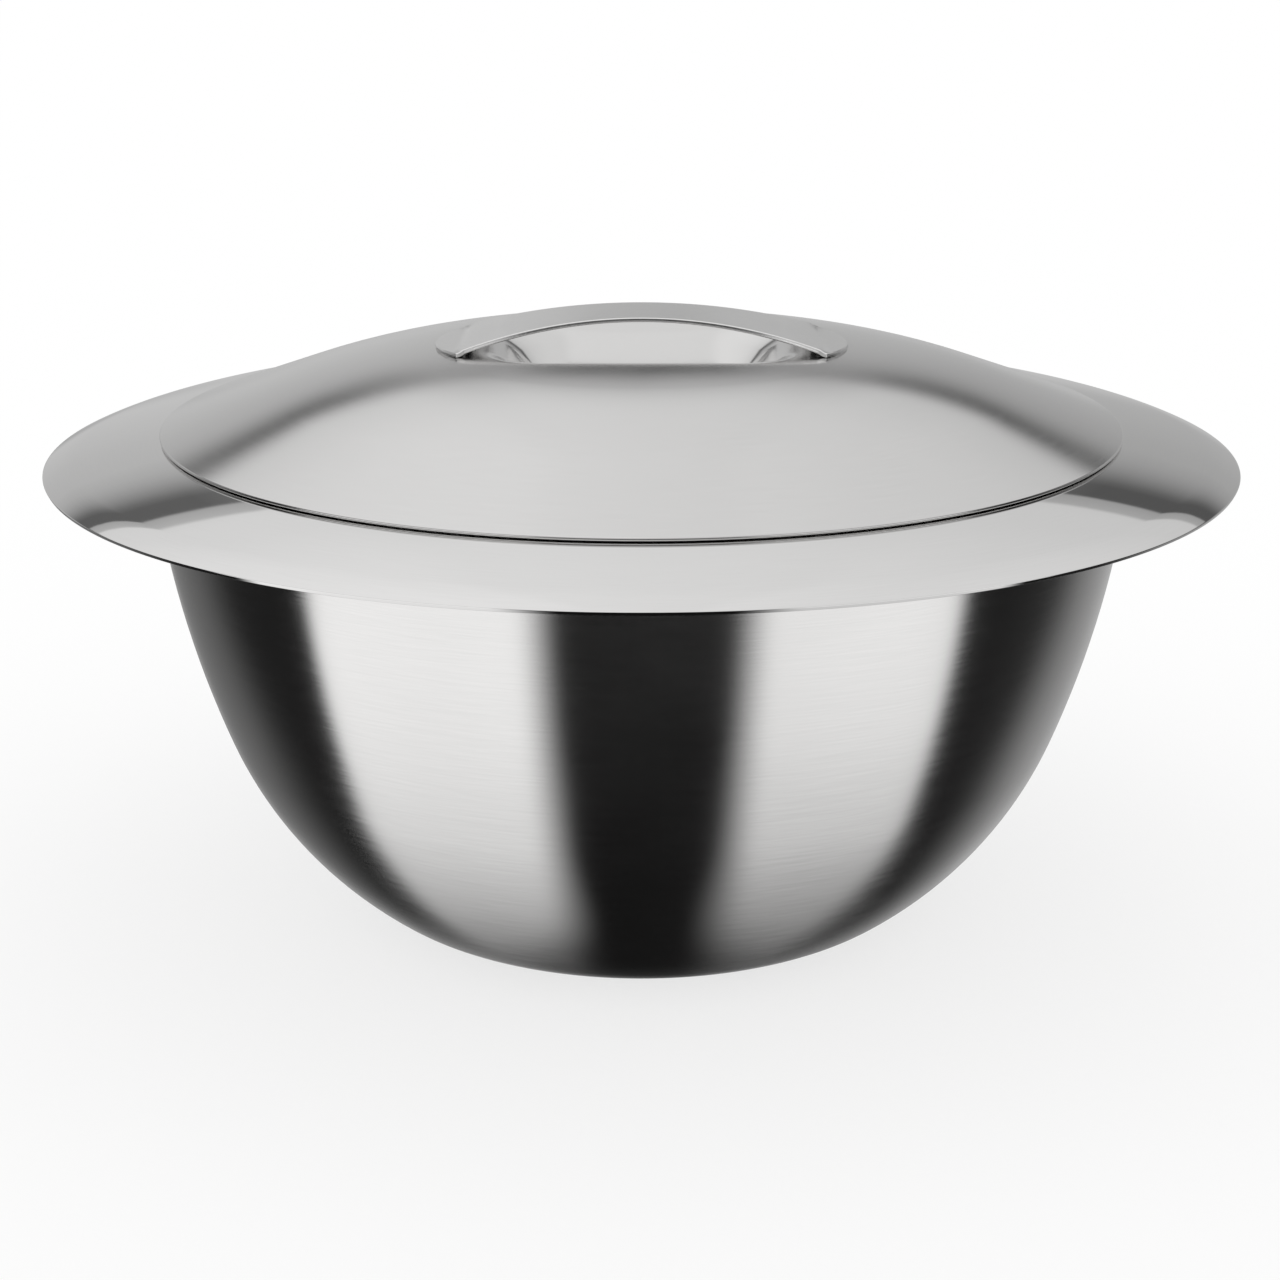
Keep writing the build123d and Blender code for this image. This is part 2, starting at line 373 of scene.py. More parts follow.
def turned(name: str, section: Sequence[Spot]) -> bpy.types.Object:
    """Turns a closed section about the axis.

    Args:
        name: Name of the piece.
        section: Points round the section.

    Returns:
        The new object.
    """
    return skin(name, [turned_ring(spot) for spot in section])


class Graph:
    """Adds nodes to a shader tree and links them."""

    def __init__(self, tree: bpy.types.NodeTree) -> None:
        """Takes the tree that is to be filled."""
        self.tree = tree

    def add(self, kind: str, **settings: object) -> bpy.types.Node:
        """Adds a node.

        Args:
            kind: Blender's name for the node.
            settings: Properties of the node to set.

        Returns:
            The node.
        """
        node = self.tree.nodes.new(kind)
        for name, value in settings.items():
            setattr(node, name, value)
        return node

    def feed(self, socket: bpy.types.NodeSocket, value: Value) -> None:
        """Links a socket to another one, or sets its value.

        Args:
            socket: Socket to be fed.
            value: Socket to link it to, or the value to set.
        """
        if isinstance(value, bpy.types.NodeSocket):
            self.tree.links.new(value, socket)
        else:
            socket.default_value = value

    def math(self, operation: str, *values: Value) -> bpy.types.NodeSocket:
        """Adds a sum, product or other function.

        Args:
            operation: Blender's name for the function.
            values: Numbers or sockets to work on.

        Returns:
            The result's socket.
        """
        node = self.add("ShaderNodeMath", operation=operation)
        for socket, value in zip(node.inputs, values):
            self.feed(socket, value)
        return node.outputs[0]

    def ramp(self, value: Value, low: float, high: float, start: float = 0.0, end: float = 1.0,
             smooth: bool = False) -> bpy.types.NodeSocket:
        """Carries a range of values over to another range, held at its ends.

        Args:
            value: Value to carry over.
            low: Value that gives the start.
            high: Value that gives the end.
            start: First result.
            end: Last result.
            smooth: Whether the result eases in and out.

        Returns:
            The result's socket.
        """
        node = self.add("ShaderNodeMapRange", interpolation_type="SMOOTHSTEP" if smooth else "LINEAR")
        for name, setting in (("Value", value), ("From Min", low), ("From Max", high),
                              ("To Min", start), ("To Max", end)):
            self.feed(node.inputs[name], setting)
        return node.outputs["Result"]

    def blend(self, share: Value, first: Value, second: Value) -> bpy.types.NodeSocket:
        """Mixes two values.

        Args:
            share: Share of the second value.
            first: Value at share 0.
            second: Value at share 1.

        Returns:
            The mix's socket.
        """
        return self.math("MULTIPLY_ADD", share, self.math("SUBTRACT", second, first), first)

    def product(self, *values: Value) -> Value:
        """Multiplies values.

        Args:
            values: Numbers or sockets to multiply.

        Returns:
            The product's socket.
        """
        result = values[0]
        for value in values[1:]:
            result = self.math("MULTIPLY", result, value)
        return result

    def diagonal(self, across: Value, along: Value) -> bpy.types.NodeSocket:
        """Length of a way that goes so far across and so far along."""
        return self.math("SQRT", self.math("ADD", self.product(across, across), self.product(along, along)))

    def noise(self, place: bpy.types.NodeSocket, detail: float, gain: float = 0.5) -> bpy.types.NodeSocket:
        """Cloudy noise with patches of about one unit.

        Args:
            place: Where it is read.
            detail: Number of finer layers.
            gain: Strength of each finer layer.

        Returns:
            The noise's socket.
        """
        node = self.add("ShaderNodeTexNoise", noise_dimensions="3D")
        for name, setting in (("Vector", place), ("Scale", 1.0), ("Detail", detail), ("Roughness", gain)):
            self.feed(node.inputs[name], setting)
        return node.outputs["Fac"]

    def emboss(self, shader: bpy.types.Node, height: bpy.types.NodeSocket, depth: float) -> None:
        """Gives a surface fine relief.

        Args:
            shader: The principled shader.
            height: Height of the relief, from nothing to one.
            depth: Depth of the relief, in millimetres.
        """
        bump = self.add("ShaderNodeBump")
        bump.inputs["Distance"].default_value = depth * MM
        self.feed(bump.inputs["Height"], height)
        self.feed(shader.inputs["Normal"], bump.outputs["Normal"])

    def colour_between(self, share: Value, first: Colour, second: Colour) -> bpy.types.NodeSocket:
        """Mixes two colours.

        Args:
            share: Share of the second colour.
            first: Colour at share 0.
            second: Colour at share 1.

        Returns:
            The colour's socket.
        """
        node = self.add("ShaderNodeMix", data_type="RGBA")
        sockets = {socket.identifier: socket for socket in node.inputs}
        self.feed(sockets["Factor_Float"], share)
        sockets["A_Color"].default_value = (*first, 1)
        sockets["B_Color"].default_value = (*second, 1)
        return next(socket for socket in node.outputs if socket.identifier == "Result_Color")


class EffectGroup:
    """A shader node group that several finishes share."""

    def __init__(self, name: str, numbers: Sequence[str], output: str) -> None:
        """Makes the group's sockets.

        Args:
            name: Name of the group.
            numbers: Names of the inputs that are numbers, after the position.
            output: Name of the value that the group puts out.
        """
        self.tree = bpy.data.node_groups.new(name, "ShaderNodeTree")
        self.tree.interface.new_socket("Position", in_out="INPUT", socket_type="NodeSocketVector")
        for number in numbers:
            self.tree.interface.new_socket(number, in_out="INPUT", socket_type="NodeSocketFloat")
        self.tree.interface.new_socket(output, in_out="OUTPUT", socket_type="NodeSocketFloat")
        self.graph = Graph(self.tree)
        self.inputs = self.graph.add("NodeGroupInput").outputs
        self.outputs = self.graph.add("NodeGroupOutput").inputs

    def place(self, graph: Graph, position: bpy.types.NodeSocket, **numbers: float) -> bpy.types.NodeSocket:
        """Places the group in a material.

        Args:
            graph: The material's tree.
            position: Position on the piece, in metres.
            numbers: Values of the inputs, with underscores for spaces.

        Returns:
            The group's output.
        """
        node = graph.add("ShaderNodeGroup", node_tree=self.tree)
        graph.feed(node.inputs["Position"], position)
        for name, value in numbers.items():
            graph.feed(node.inputs[name.replace("_", " ").capitalize()], value)
        return node.outputs[0]


def turned_lines() -> EffectGroup:
    """Fine marks that run round the axis, as brushing or polishing on a lathe leaves them.

    Returns:
        The group, with the pitch of the marks in metres and the number of lengths in a radian.
    """
    group = EffectGroup("turned_lines", ("Pitch", "Lengths"), "Lines")
    graph = group.graph
    parts = graph.add("ShaderNodeSeparateXYZ")
    graph.feed(parts.inputs[0], group.inputs["Position"])
    across, along, up = parts.outputs
    radius = graph.diagonal(across, along)
    safe = graph.math("MAXIMUM", radius, MM)
    place = graph.add("ShaderNodeCombineXYZ")
    for socket, way in zip(place.inputs, (across, along)):
        graph.feed(socket, graph.product(graph.math("DIVIDE", way, safe), group.inputs["Lengths"]))
    graph.feed(place.inputs[2], graph.math("DIVIDE", graph.math("ADD", radius, up), group.inputs["Pitch"]))
    noise = graph.noise(place.outputs[0], MARK_DETAIL, MARK_GAIN)
    graph.feed(group.outputs[0], graph.ramp(noise, *MARK_RANGE))
    return group


def handling_haze() -> EffectGroup:
    """Soft cloudy patches, as wiping and handling leave them on polished steel.

    Returns:
        The group, with the size of the patches in metres.
    """
    group = EffectGroup("handling_haze", ("Patch",), "Haze")
    graph = group.graph
    scaled = graph.add("ShaderNodeVectorMath", operation="SCALE")
    graph.feed(scaled.inputs[0], group.inputs["Position"])
    graph.feed(scaled.inputs["Scale"], graph.math("DIVIDE", 1.0, group.inputs["Patch"]))
    noise = graph.noise(scaled.outputs[0], HAZE_DETAIL)
    graph.feed(group.outputs[0], graph.ramp(noise, *HAZE_RANGE, smooth=True))
    return group


@dataclass(frozen=True)
class Effects:
    """The node groups that the finishes share."""

    lines: EffectGroup
    haze: EffectGroup


def new_material(name: str) -> tuple[bpy.types.Material, Graph, bpy.types.Node]:
    """Makes a material with one principled shader.

    Args:
        name: Name of the material.

    Returns:
        The material, its tree and its shader.
    """
    material = bpy.data.materials.new(name)
    material.use_nodes = True
    graph = Graph(material.node_tree)
    shader = material.node_tree.nodes["Principled BSDF"]
    return material, graph, shader


def bare_material(name: str) -> tuple[bpy.types.Material, Graph]:
    """Makes a material with nothing in it.

    Args:
        name: Name of the material.

    Returns:
        The material and its empty tree.
    """
    material = bpy.data.materials.new(name)
    material.use_nodes = True
    material.node_tree.nodes.clear()
    return material, Graph(material.node_tree)


class Marks(Enum):
    """How the fine marks of a steel surface run."""

    ROUND = "round the axis"
    ALONG = "along the strap"


@dataclass(frozen=True)
class Steel:
    """A stainless steel finish with fine marks and faint handling haze.

    The marks have a pitch in millimetres. Tone, roughness and relief say how much the marks change the
    colour and the roughness, and how deep they are, in millimetres.
    """

    name: str
    colour: Colour
    roughness: float
    anisotropy: float = 0.0
    marks: Marks = Marks.ROUND
    pitch: float = 0.3
    lengths: float = 8.0
    tone: float = 0.06
    roughness_swing: float = 0.05
    relief: float = 0.0
    haze_patch: float = 40.0
    haze_swing: float = 0.03

    def build(self, effects: Effects) -> bpy.types.Material:
        """Makes the material.

        Args:
            effects: The shared node groups.

        Returns:
            The material.
        """
        material, graph, shader = new_material(self.name)
        position = graph.add("ShaderNodeTexCoord").outputs["Object"]
        if self.marks is Marks.ROUND:
            marks = effects.lines.place(graph, position, pitch=self.pitch * MM, lengths=self.lengths)
        else:
            marks = self.straight_marks(graph, position)
        haze = effects.haze.place(graph, position, patch=self.haze_patch * MM)
        dark = tuple(part * (1 - self.tone) for part in self.colour)
        light = tuple(min(1.0, part * (1 + self.tone)) for part in self.colour)
        graph.feed(shader.inputs["Base Color"], graph.colour_between(marks, dark, light))
        shade = graph.math("MULTIPLY_ADD", marks, self.roughness_swing,
                           self.roughness - self.roughness_swing / 2 - self.haze_swing / 2)
        graph.feed(shader.inputs["Roughness"], graph.math("MULTIPLY_ADD", haze, self.haze_swing, shade))
        shader.inputs["Metallic"].default_value = 1.0
        if self.anisotropy:
            shader.inputs["Anisotropic"].default_value = self.anisotropy
            self.aim_highlight(graph, shader)
        if self.relief:
            graph.emboss(shader, marks, self.relief)
        return material

    def straight_marks(self, graph: Graph, position: bpy.types.NodeSocket) -> bpy.types.NodeSocket:
        """Marks that run along X.

        Args:
            graph: The material's tree.
            position: Position on the piece, in metres.

        Returns:
            The value of the marks.
        """
        stretch = graph.add("ShaderNodeVectorMath", operation="MULTIPLY")
        graph.feed(stretch.inputs[0], position)
        fine = 1 / (self.pitch * MM)
        stretch.inputs[1].default_value = (fine / self.lengths, fine, fine / self.lengths)
        return graph.ramp(graph.noise(stretch.outputs[0], MARK_DETAIL), *MARK_RANGE)

    def aim_highlight(self, graph: Graph, shader: bpy.types.Node) -> None:
        """Stretches the highlight across the marks.

        Args:
            graph: The material's tree.
            shader: The principled shader.
        """
        if self.marks is Marks.ROUND:
            aim = graph.add("ShaderNodeTangent", direction_type="RADIAL", axis="Z")
            shader.inputs["Anisotropic Rotation"].default_value = QUARTER
        else:
            aim = graph.add("ShaderNodeTangent", direction_type="RADIAL", axis="X")
        graph.feed(shader.inputs["Tangent"], aim.outputs["Tangent"])


@dataclass(frozen=True)
class Foam:
    """Poured foam: a dull cream mass with small cells, with painted shade that darkens the middle of each
    cell's pit. Lengths are in millimetres.
    """

    name: str = "poured_foam"
    # dark is the painted shade at the bottom of each cell's pit, light is the foam between the pits
    dark: Colour = (0.66, 0.55, 0.33)
    light: Colour = (0.86, 0.79, 0.57)
    roughness: float = 0.92
    cell: float = 0.8
    cell_range: tuple[float, float] = (0.1, 0.7)
    relief: float = 0.3

    def build(self) -> bpy.types.Material:
        """Makes the material.

        Returns:
            The material.
        """
        material, graph, shader = new_material(self.name)
        position = graph.add("ShaderNodeTexCoord").outputs["Object"]
        cells = graph.add("ShaderNodeTexVoronoi")
        graph.feed(cells.inputs["Vector"], position)
        cells.inputs["Scale"].default_value = 1 / (self.cell * MM)
        pit_depth_and_shade = graph.ramp(cells.outputs["Distance"], *self.cell_range)
        # Painted shade: the colour darkens towards each cell's middle, where the relief below sinks into a
        # pit
        graph.feed(shader.inputs["Base Color"], graph.colour_between(pit_depth_and_shade, self.dark, self.light))
        shader.inputs["Roughness"].default_value = self.roughness
        graph.emboss(shader, pit_depth_and_shade, self.relief)
        return material


@dataclass(frozen=True)
class Rubber:
    """Moulded dark rubber with a faint bloom. Lengths are in millimetres."""

    name: str = "plug_rubber"
    dark: Colour = (0.03, 0.03, 0.032)
    light: Colour = (0.06, 0.06, 0.062)
    roughness: float = 0.6
    grain: float = 0.35
    relief: float = 0.04

    def build(self, effects: Effects) -> bpy.types.Material:
        """Makes the material.

        Args:
            effects: The shared node groups.

        Returns:
            The material.
        """
        material, graph, shader = new_material(self.name)
        position = graph.add("ShaderNodeTexCoord").outputs["Object"]
        bloom = effects.haze.place(graph, position, patch=self.grain * MM)
        graph.feed(shader.inputs["Base Color"], graph.colour_between(bloom, self.dark, self.light))
        shader.inputs["Roughness"].default_value = self.roughness
        graph.emboss(shader, bloom, self.relief)
        return material


BOWL_OUTSIDE = Steel("brushed_outside", (0.61, 0.605, 0.6), roughness=0.2, anisotropy=0.95,
                     pitch=0.35, lengths=7.0, tone=0.05, roughness_swing=0.06, relief=0.002)
BRIM = Steel("polished_brim", (0.72, 0.715, 0.71), roughness=0.03, pitch=0.25, lengths=12.0,
             tone=0.015, roughness_swing=0.01, haze_swing=0.01)
BOWL_INSIDE = Steel("brushed_inside", (0.66, 0.655, 0.65), roughness=0.3, anisotropy=0.7,
                    pitch=0.4, lengths=9.0, tone=0.04, relief=0.002)
DOME = Steel("soft_polished_dome", (0.66, 0.655, 0.65), roughness=0.13, pitch=0.3, lengths=10.0,
             tone=0.015, roughness_swing=0.02, haze_swing=0.02)
PAN = Steel("satin_pan", (0.66, 0.655, 0.65), roughness=0.32, anisotropy=0.6, pitch=0.35, lengths=8.0,
            tone=0.04, relief=0.002)
STRAP = Steel("satin_strap", (0.79, 0.785, 0.78), roughness=0.15, anisotropy=0.5, marks=Marks.ALONG,
              pitch=0.3, lengths=30.0, tone=0.05, relief=0.002)


@dataclass(frozen=True)
class BrimSeat:
    """The brim's section and the sizes that the bowl and the lid share."""

    brim_radius: float = 160.0
    brim_edge_height: float = 128.6
    brim_width: float = 30.6
    seat_slope: float = 8.5
    roll_width: float = 8.0
    roll_slope: float = 13.0
    edge_slope: float = 25.0
    brim_sheet: float = 1.0
    brim_edge_corner: float = 0.15
    mouth_inset: float = 7.65
    lid_sheet: float = 0.4
    pan_sheet: float = 0.3
    hem_gap: float = 0.03
    rest_gap: float = 0.2

    @cached_property
    def hem_radius(self) -> float:
        """Half the height of the lid's folded edge."""
        return (2 * self.lid_sheet + self.pan_sheet + 2 * self.hem_gap) / 2

    @cached_property
    def lid_edge_radius(self) -> float:
        """Radius of the lid's outer edge."""
        return self.brim_radius - self.brim_width

    @cached_property
    def seat_radius(self) -> float:
        """Radius at which the folded edge rests on the brim."""
        return self.lid_edge_radius - self.hem_radius

    @cached_property
    def mouth_radius(self) -> float:
        """Radius of the inner wall at the level of the seat."""
        return self.lid_edge_radius - self.mouth_inset

    @cached_property
    def roll_radius(self) -> float:
        """Radius at which the brim starts to roll down to its edge."""
        end_radius = self.brim_radius - self.brim_sheet / 2 * (1 - sine(self.edge_slope))
        return end_radius - self.roll_width

    @cached_property
    def brim_arc(self) -> float:
        """Radius of the brim's gentle crown."""
        return (self.roll_radius - self.seat_radius) / (sine(self.roll_slope) - sine(self.seat_slope))

    @cached_property
    def roll_arc(self) -> float:
        """Radius of the roll at the brim's edge."""
        return self.roll_width / (sine(self.edge_slope) - sine(self.roll_slope))

    @cached_property
    def seat_height(self) -> float:
        """Height of the brim under the lid's edge."""
        roll_fall = self.roll_arc * (cosine(self.roll_slope) - cosine(self.edge_slope))
        brim_fall = self.brim_arc * (cosine(self.seat_slope) - cosine(self.roll_slope))
        return self.brim_edge_height + roll_fall + brim_fall

    @cached_property
    def brim_centre(self) -> tuple[float, float]:
        """Centre of the brim's crown."""
        return (self.seat_radius - self.brim_arc * sine(self.seat_slope),
                self.seat_height - self.brim_arc * cosine(self.seat_slope))

    @cached_property
    def hem_centre(self) -> tuple[float, float]:
        """Centre of the lid's folded edge, resting on the brim."""
        reach = self.brim_arc + self.rest_gap + self.hem_radius
        rise = math.sqrt(reach ** 2 - (self.seat_radius - self.brim_centre[0]) ** 2)
        return self.seat_radius, self.brim_centre[1] + rise


def meeting(first: tuple[float, float], reach: float, second: tuple[float, float],
            other: float) -> tuple[float, float]:
    """The outer of the two points at given distances from two centres.

    Args:
        first: First centre.
        reach: Distance from the first centre.
        second: Second centre.
        other: Distance from the second centre.

    Returns:
        Radius and height of the point.
    """
    out, up = second[0] - first[0], second[1] - first[1]
    apart = math.hypot(out, up)
    along = (apart ** 2 + reach ** 2 - other ** 2) / (2 * apart)
    across = math.sqrt(reach ** 2 - along ** 2)
    out, up = out / apart, up / apart
    ends = [(first[0] + along * out - side * across * up, first[1] + along * up + side * across * out)
            for side in (-1, 1)]
    return max(ends)


def dress(piece: bpy.types.Object, body: str, slot: str, node: str,
          *materials: bpy.types.Material) -> bpy.types.Object:
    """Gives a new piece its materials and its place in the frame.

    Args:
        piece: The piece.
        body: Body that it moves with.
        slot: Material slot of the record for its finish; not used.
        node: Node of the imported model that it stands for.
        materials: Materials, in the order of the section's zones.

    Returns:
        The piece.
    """
    for material in materials:
        piece.data.materials.append(material)
    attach(piece, body)
    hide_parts(node)
    LOG.info("%s rides on %s for node %s, %d faces", piece.name, body, node, len(piece.data.polygons))
    return piece


@dataclass(frozen=True)
class Bowl:
    """The double-walled bowl: brushed outside, inner shell with its brim, and the cover under its base."""

    seat: BrimSeat
    corner_radius: float = 35.0
    corner_slope: float = 37.0
    lower_wall_radius: float = 108.0
    lower_wall_slope: float = 69.0
    upper_wall_radius: float = 270.0
    outer_sheet: float = 0.8
    insulation: float = 8.8
    weld_gap: float = 0.1
    mouth_bend: float = 4.0
    flange_bend: float = 2.5
    flange_width: float = 5.0
    base_recess_radius: float = 40.0
    base_step_bend: float = 2.0
    fill_hole_radius: float = 8.0
    plug_head_height: float = 1.0
    plug_cover_gap: float = 0.2
    disc_sheet: float = 0.7
    disc_floor_gap: float = 0.7
    disc_edge_gap: float = 1.0
    disc_rim_width: float = 6.0
    disc_step_bend: float = 1.5

    @cached_property
    def wall_build(self) -> float:
        """Thickness of the wall with its filling."""
        return self.outer_sheet + self.insulation + self.seat.brim_sheet

    @cached_property
    def wall_centre(self) -> tuple[float, float]:
        """Centre of the upper wall's arcs, inside and outside."""
        height = (
            self.corner_radius * (1 - cosine(self.corner_slope))
            + self.lower_wall_radius * (cosine(self.corner_slope) - cosine(self.lower_wall_slope))
            + self.upper_wall_radius * cosine(self.lower_wall_slope)
        )
        arc = self.upper_wall_radius - self.wall_build
        slope = math.acos((height - self.seat.seat_height) / arc)
        return self.seat.mouth_radius - arc * math.sin(slope), height

    @cached_property
    def foot_radius(self) -> float:
        """Radius at which the flat foot turns up into the corner."""
        return (
            self.wall_centre[0]
            + self.upper_wall_radius * sine(self.lower_wall_slope)
            - self.lower_wall_radius * (sine(self.lower_wall_slope) - sine(self.corner_slope))
            - self.corner_radius * sine(self.corner_slope)
        )

    @cached_property
    def disc_dish(self) -> float:
        """Depth of the dish in the cover, over the plug's head."""
        return self.plug_head_height + self.plug_cover_gap

    def rise_to_brim(self, arc: float, bend: float, brim_arc: float) -> tuple[float, float]:
        """Where the upper wall ends and a flange or the brim starts, with a bend between them.

        Args:
            arc: Radius of the wall's face that touches the bend.
            bend: Radius of the bend.
            brim_arc: Radius of the brim's face that touches the bend.

        Returns:
            Slope of the wall and fall of the brim where the bend meets them.
        """
        brim_centre = self.seat.brim_centre
        centre = meeting(self.wall_centre, arc + bend, brim_centre, brim_arc - bend)
        wall_end = math.atan2(centre[0] - self.wall_centre[0], self.wall_centre[1] - centre[1])
        brim_start = math.atan2(centre[0] - brim_centre[0], centre[1] - brim_centre[1])
        return math.degrees(wall_end), math.degrees(brim_start)

    def outer_section(self) -> list[Spot]:
        """Section of the outer shell, from the filling hole to the flange under the brim.

        Returns:
            Points round the section.
        """
        bends = 2 * self.base_step_bend + self.outer_sheet
        rise = self.disc_floor_gap + self.disc_sheet + self.disc_dish
        step = math.degrees(math.acos(1 - rise / bends))
        flange_arc = self.seat.brim_arc - self.seat.brim_sheet - self.weld_gap - self.outer_sheet
        wall_end, flange_start = self.rise_to_brim(self.upper_wall_radius, self.flange_bend, flange_arc)
        hole_edge = self.fill_hole_radius + self.outer_sheet / 2
        walk = Walk(hole_edge, rise, face=Face.RIGHT)
        walk.line(self.base_recess_radius - hole_edge)
        walk.turn(self.base_step_bend, -step).turn(self.base_step_bend + self.outer_sheet, step)
        walk.line(self.foot_radius - walk.radius)
        walk.turn(self.corner_radius, self.corner_slope)
        walk.turn(self.lower_wall_radius, self.lower_wall_slope - self.corner_slope)
        walk.turn(self.upper_wall_radius, wall_end - self.lower_wall_slope)
        walk.turn(self.flange_bend, -wall_end - flange_start)
        walk.turn(flange_arc, -math.degrees(self.flange_width / flange_arc))
        return walk.sheet(self.outer_sheet)

    def inner_section(self) -> list[Spot]:
        """Section of the inner shell, from the middle of its floor to the rolled edge of the brim.

        Returns:
            Points round the section.
        """
        seat = self.seat
        arc = self.upper_wall_radius - self.wall_build
        wall_end, brim_start = self.rise_to_brim(arc, self.mouth_bend, seat.brim_arc)
        walk = Walk(0.0, self.wall_build, face=Face.LEFT).in_zone(1)
        walk.line(self.foot_radius)
        walk.turn(self.corner_radius - self.wall_build, self.corner_slope)
        walk.turn(self.lower_wall_radius - self.wall_build, self.lower_wall_slope - self.corner_slope)
        walk.turn(arc, wall_end - self.lower_wall_slope)
        walk.in_zone(0)
        walk.turn(self.mouth_bend, -wall_end - brim_start)
        walk.turn(seat.brim_arc, brim_start - seat.roll_slope)
        walk.turn(seat.roll_arc, seat.roll_slope - seat.edge_slope)
        return walk.sheet(seat.brim_sheet, seat.brim_edge_corner)

    def disc_section(self) -> list[Spot]:
        """Section of the dished cover under the base.

        Returns:
            Points round the section.
        """
        bends = 2 * self.disc_step_bend + self.disc_sheet
        step = math.degrees(math.acos(1 - self.disc_dish / bends))
        rim_radius = self.base_recess_radius - self.disc_edge_gap
        walk = Walk(0.0, self.disc_floor_gap, face=Face.RIGHT)
        walk.line(rim_radius - self.disc_rim_width - bends * sine(step))
        walk.turn(self.disc_step_bend + self.disc_sheet, step).turn(self.disc_step_bend, -step)
        walk.line(self.disc_rim_width - self.disc_sheet / 2)
        return walk.sheet(self.disc_sheet)

    def build(self, effects: Effects) -> None:
        """Makes and dresses the bowl's pieces.

        Args:
            effects: The shared node groups.
        """
        outside = BOWL_OUTSIDE.build(effects)
        dress(turned("bowl_outside", self.outer_section()), "bowl", "brushed_steel",
              "bowl_outer_shell", outside)
        dress(turned("bowl_inside_and_brim", self.inner_section()), "bowl", "polished_steel",
              "bowl_inner_shell", BRIM.build(effects), BOWL_INSIDE.build(effects))
        dress(turned("base_cover", self.disc_section()), "bowl", "brushed_steel", "base_disc", outside)


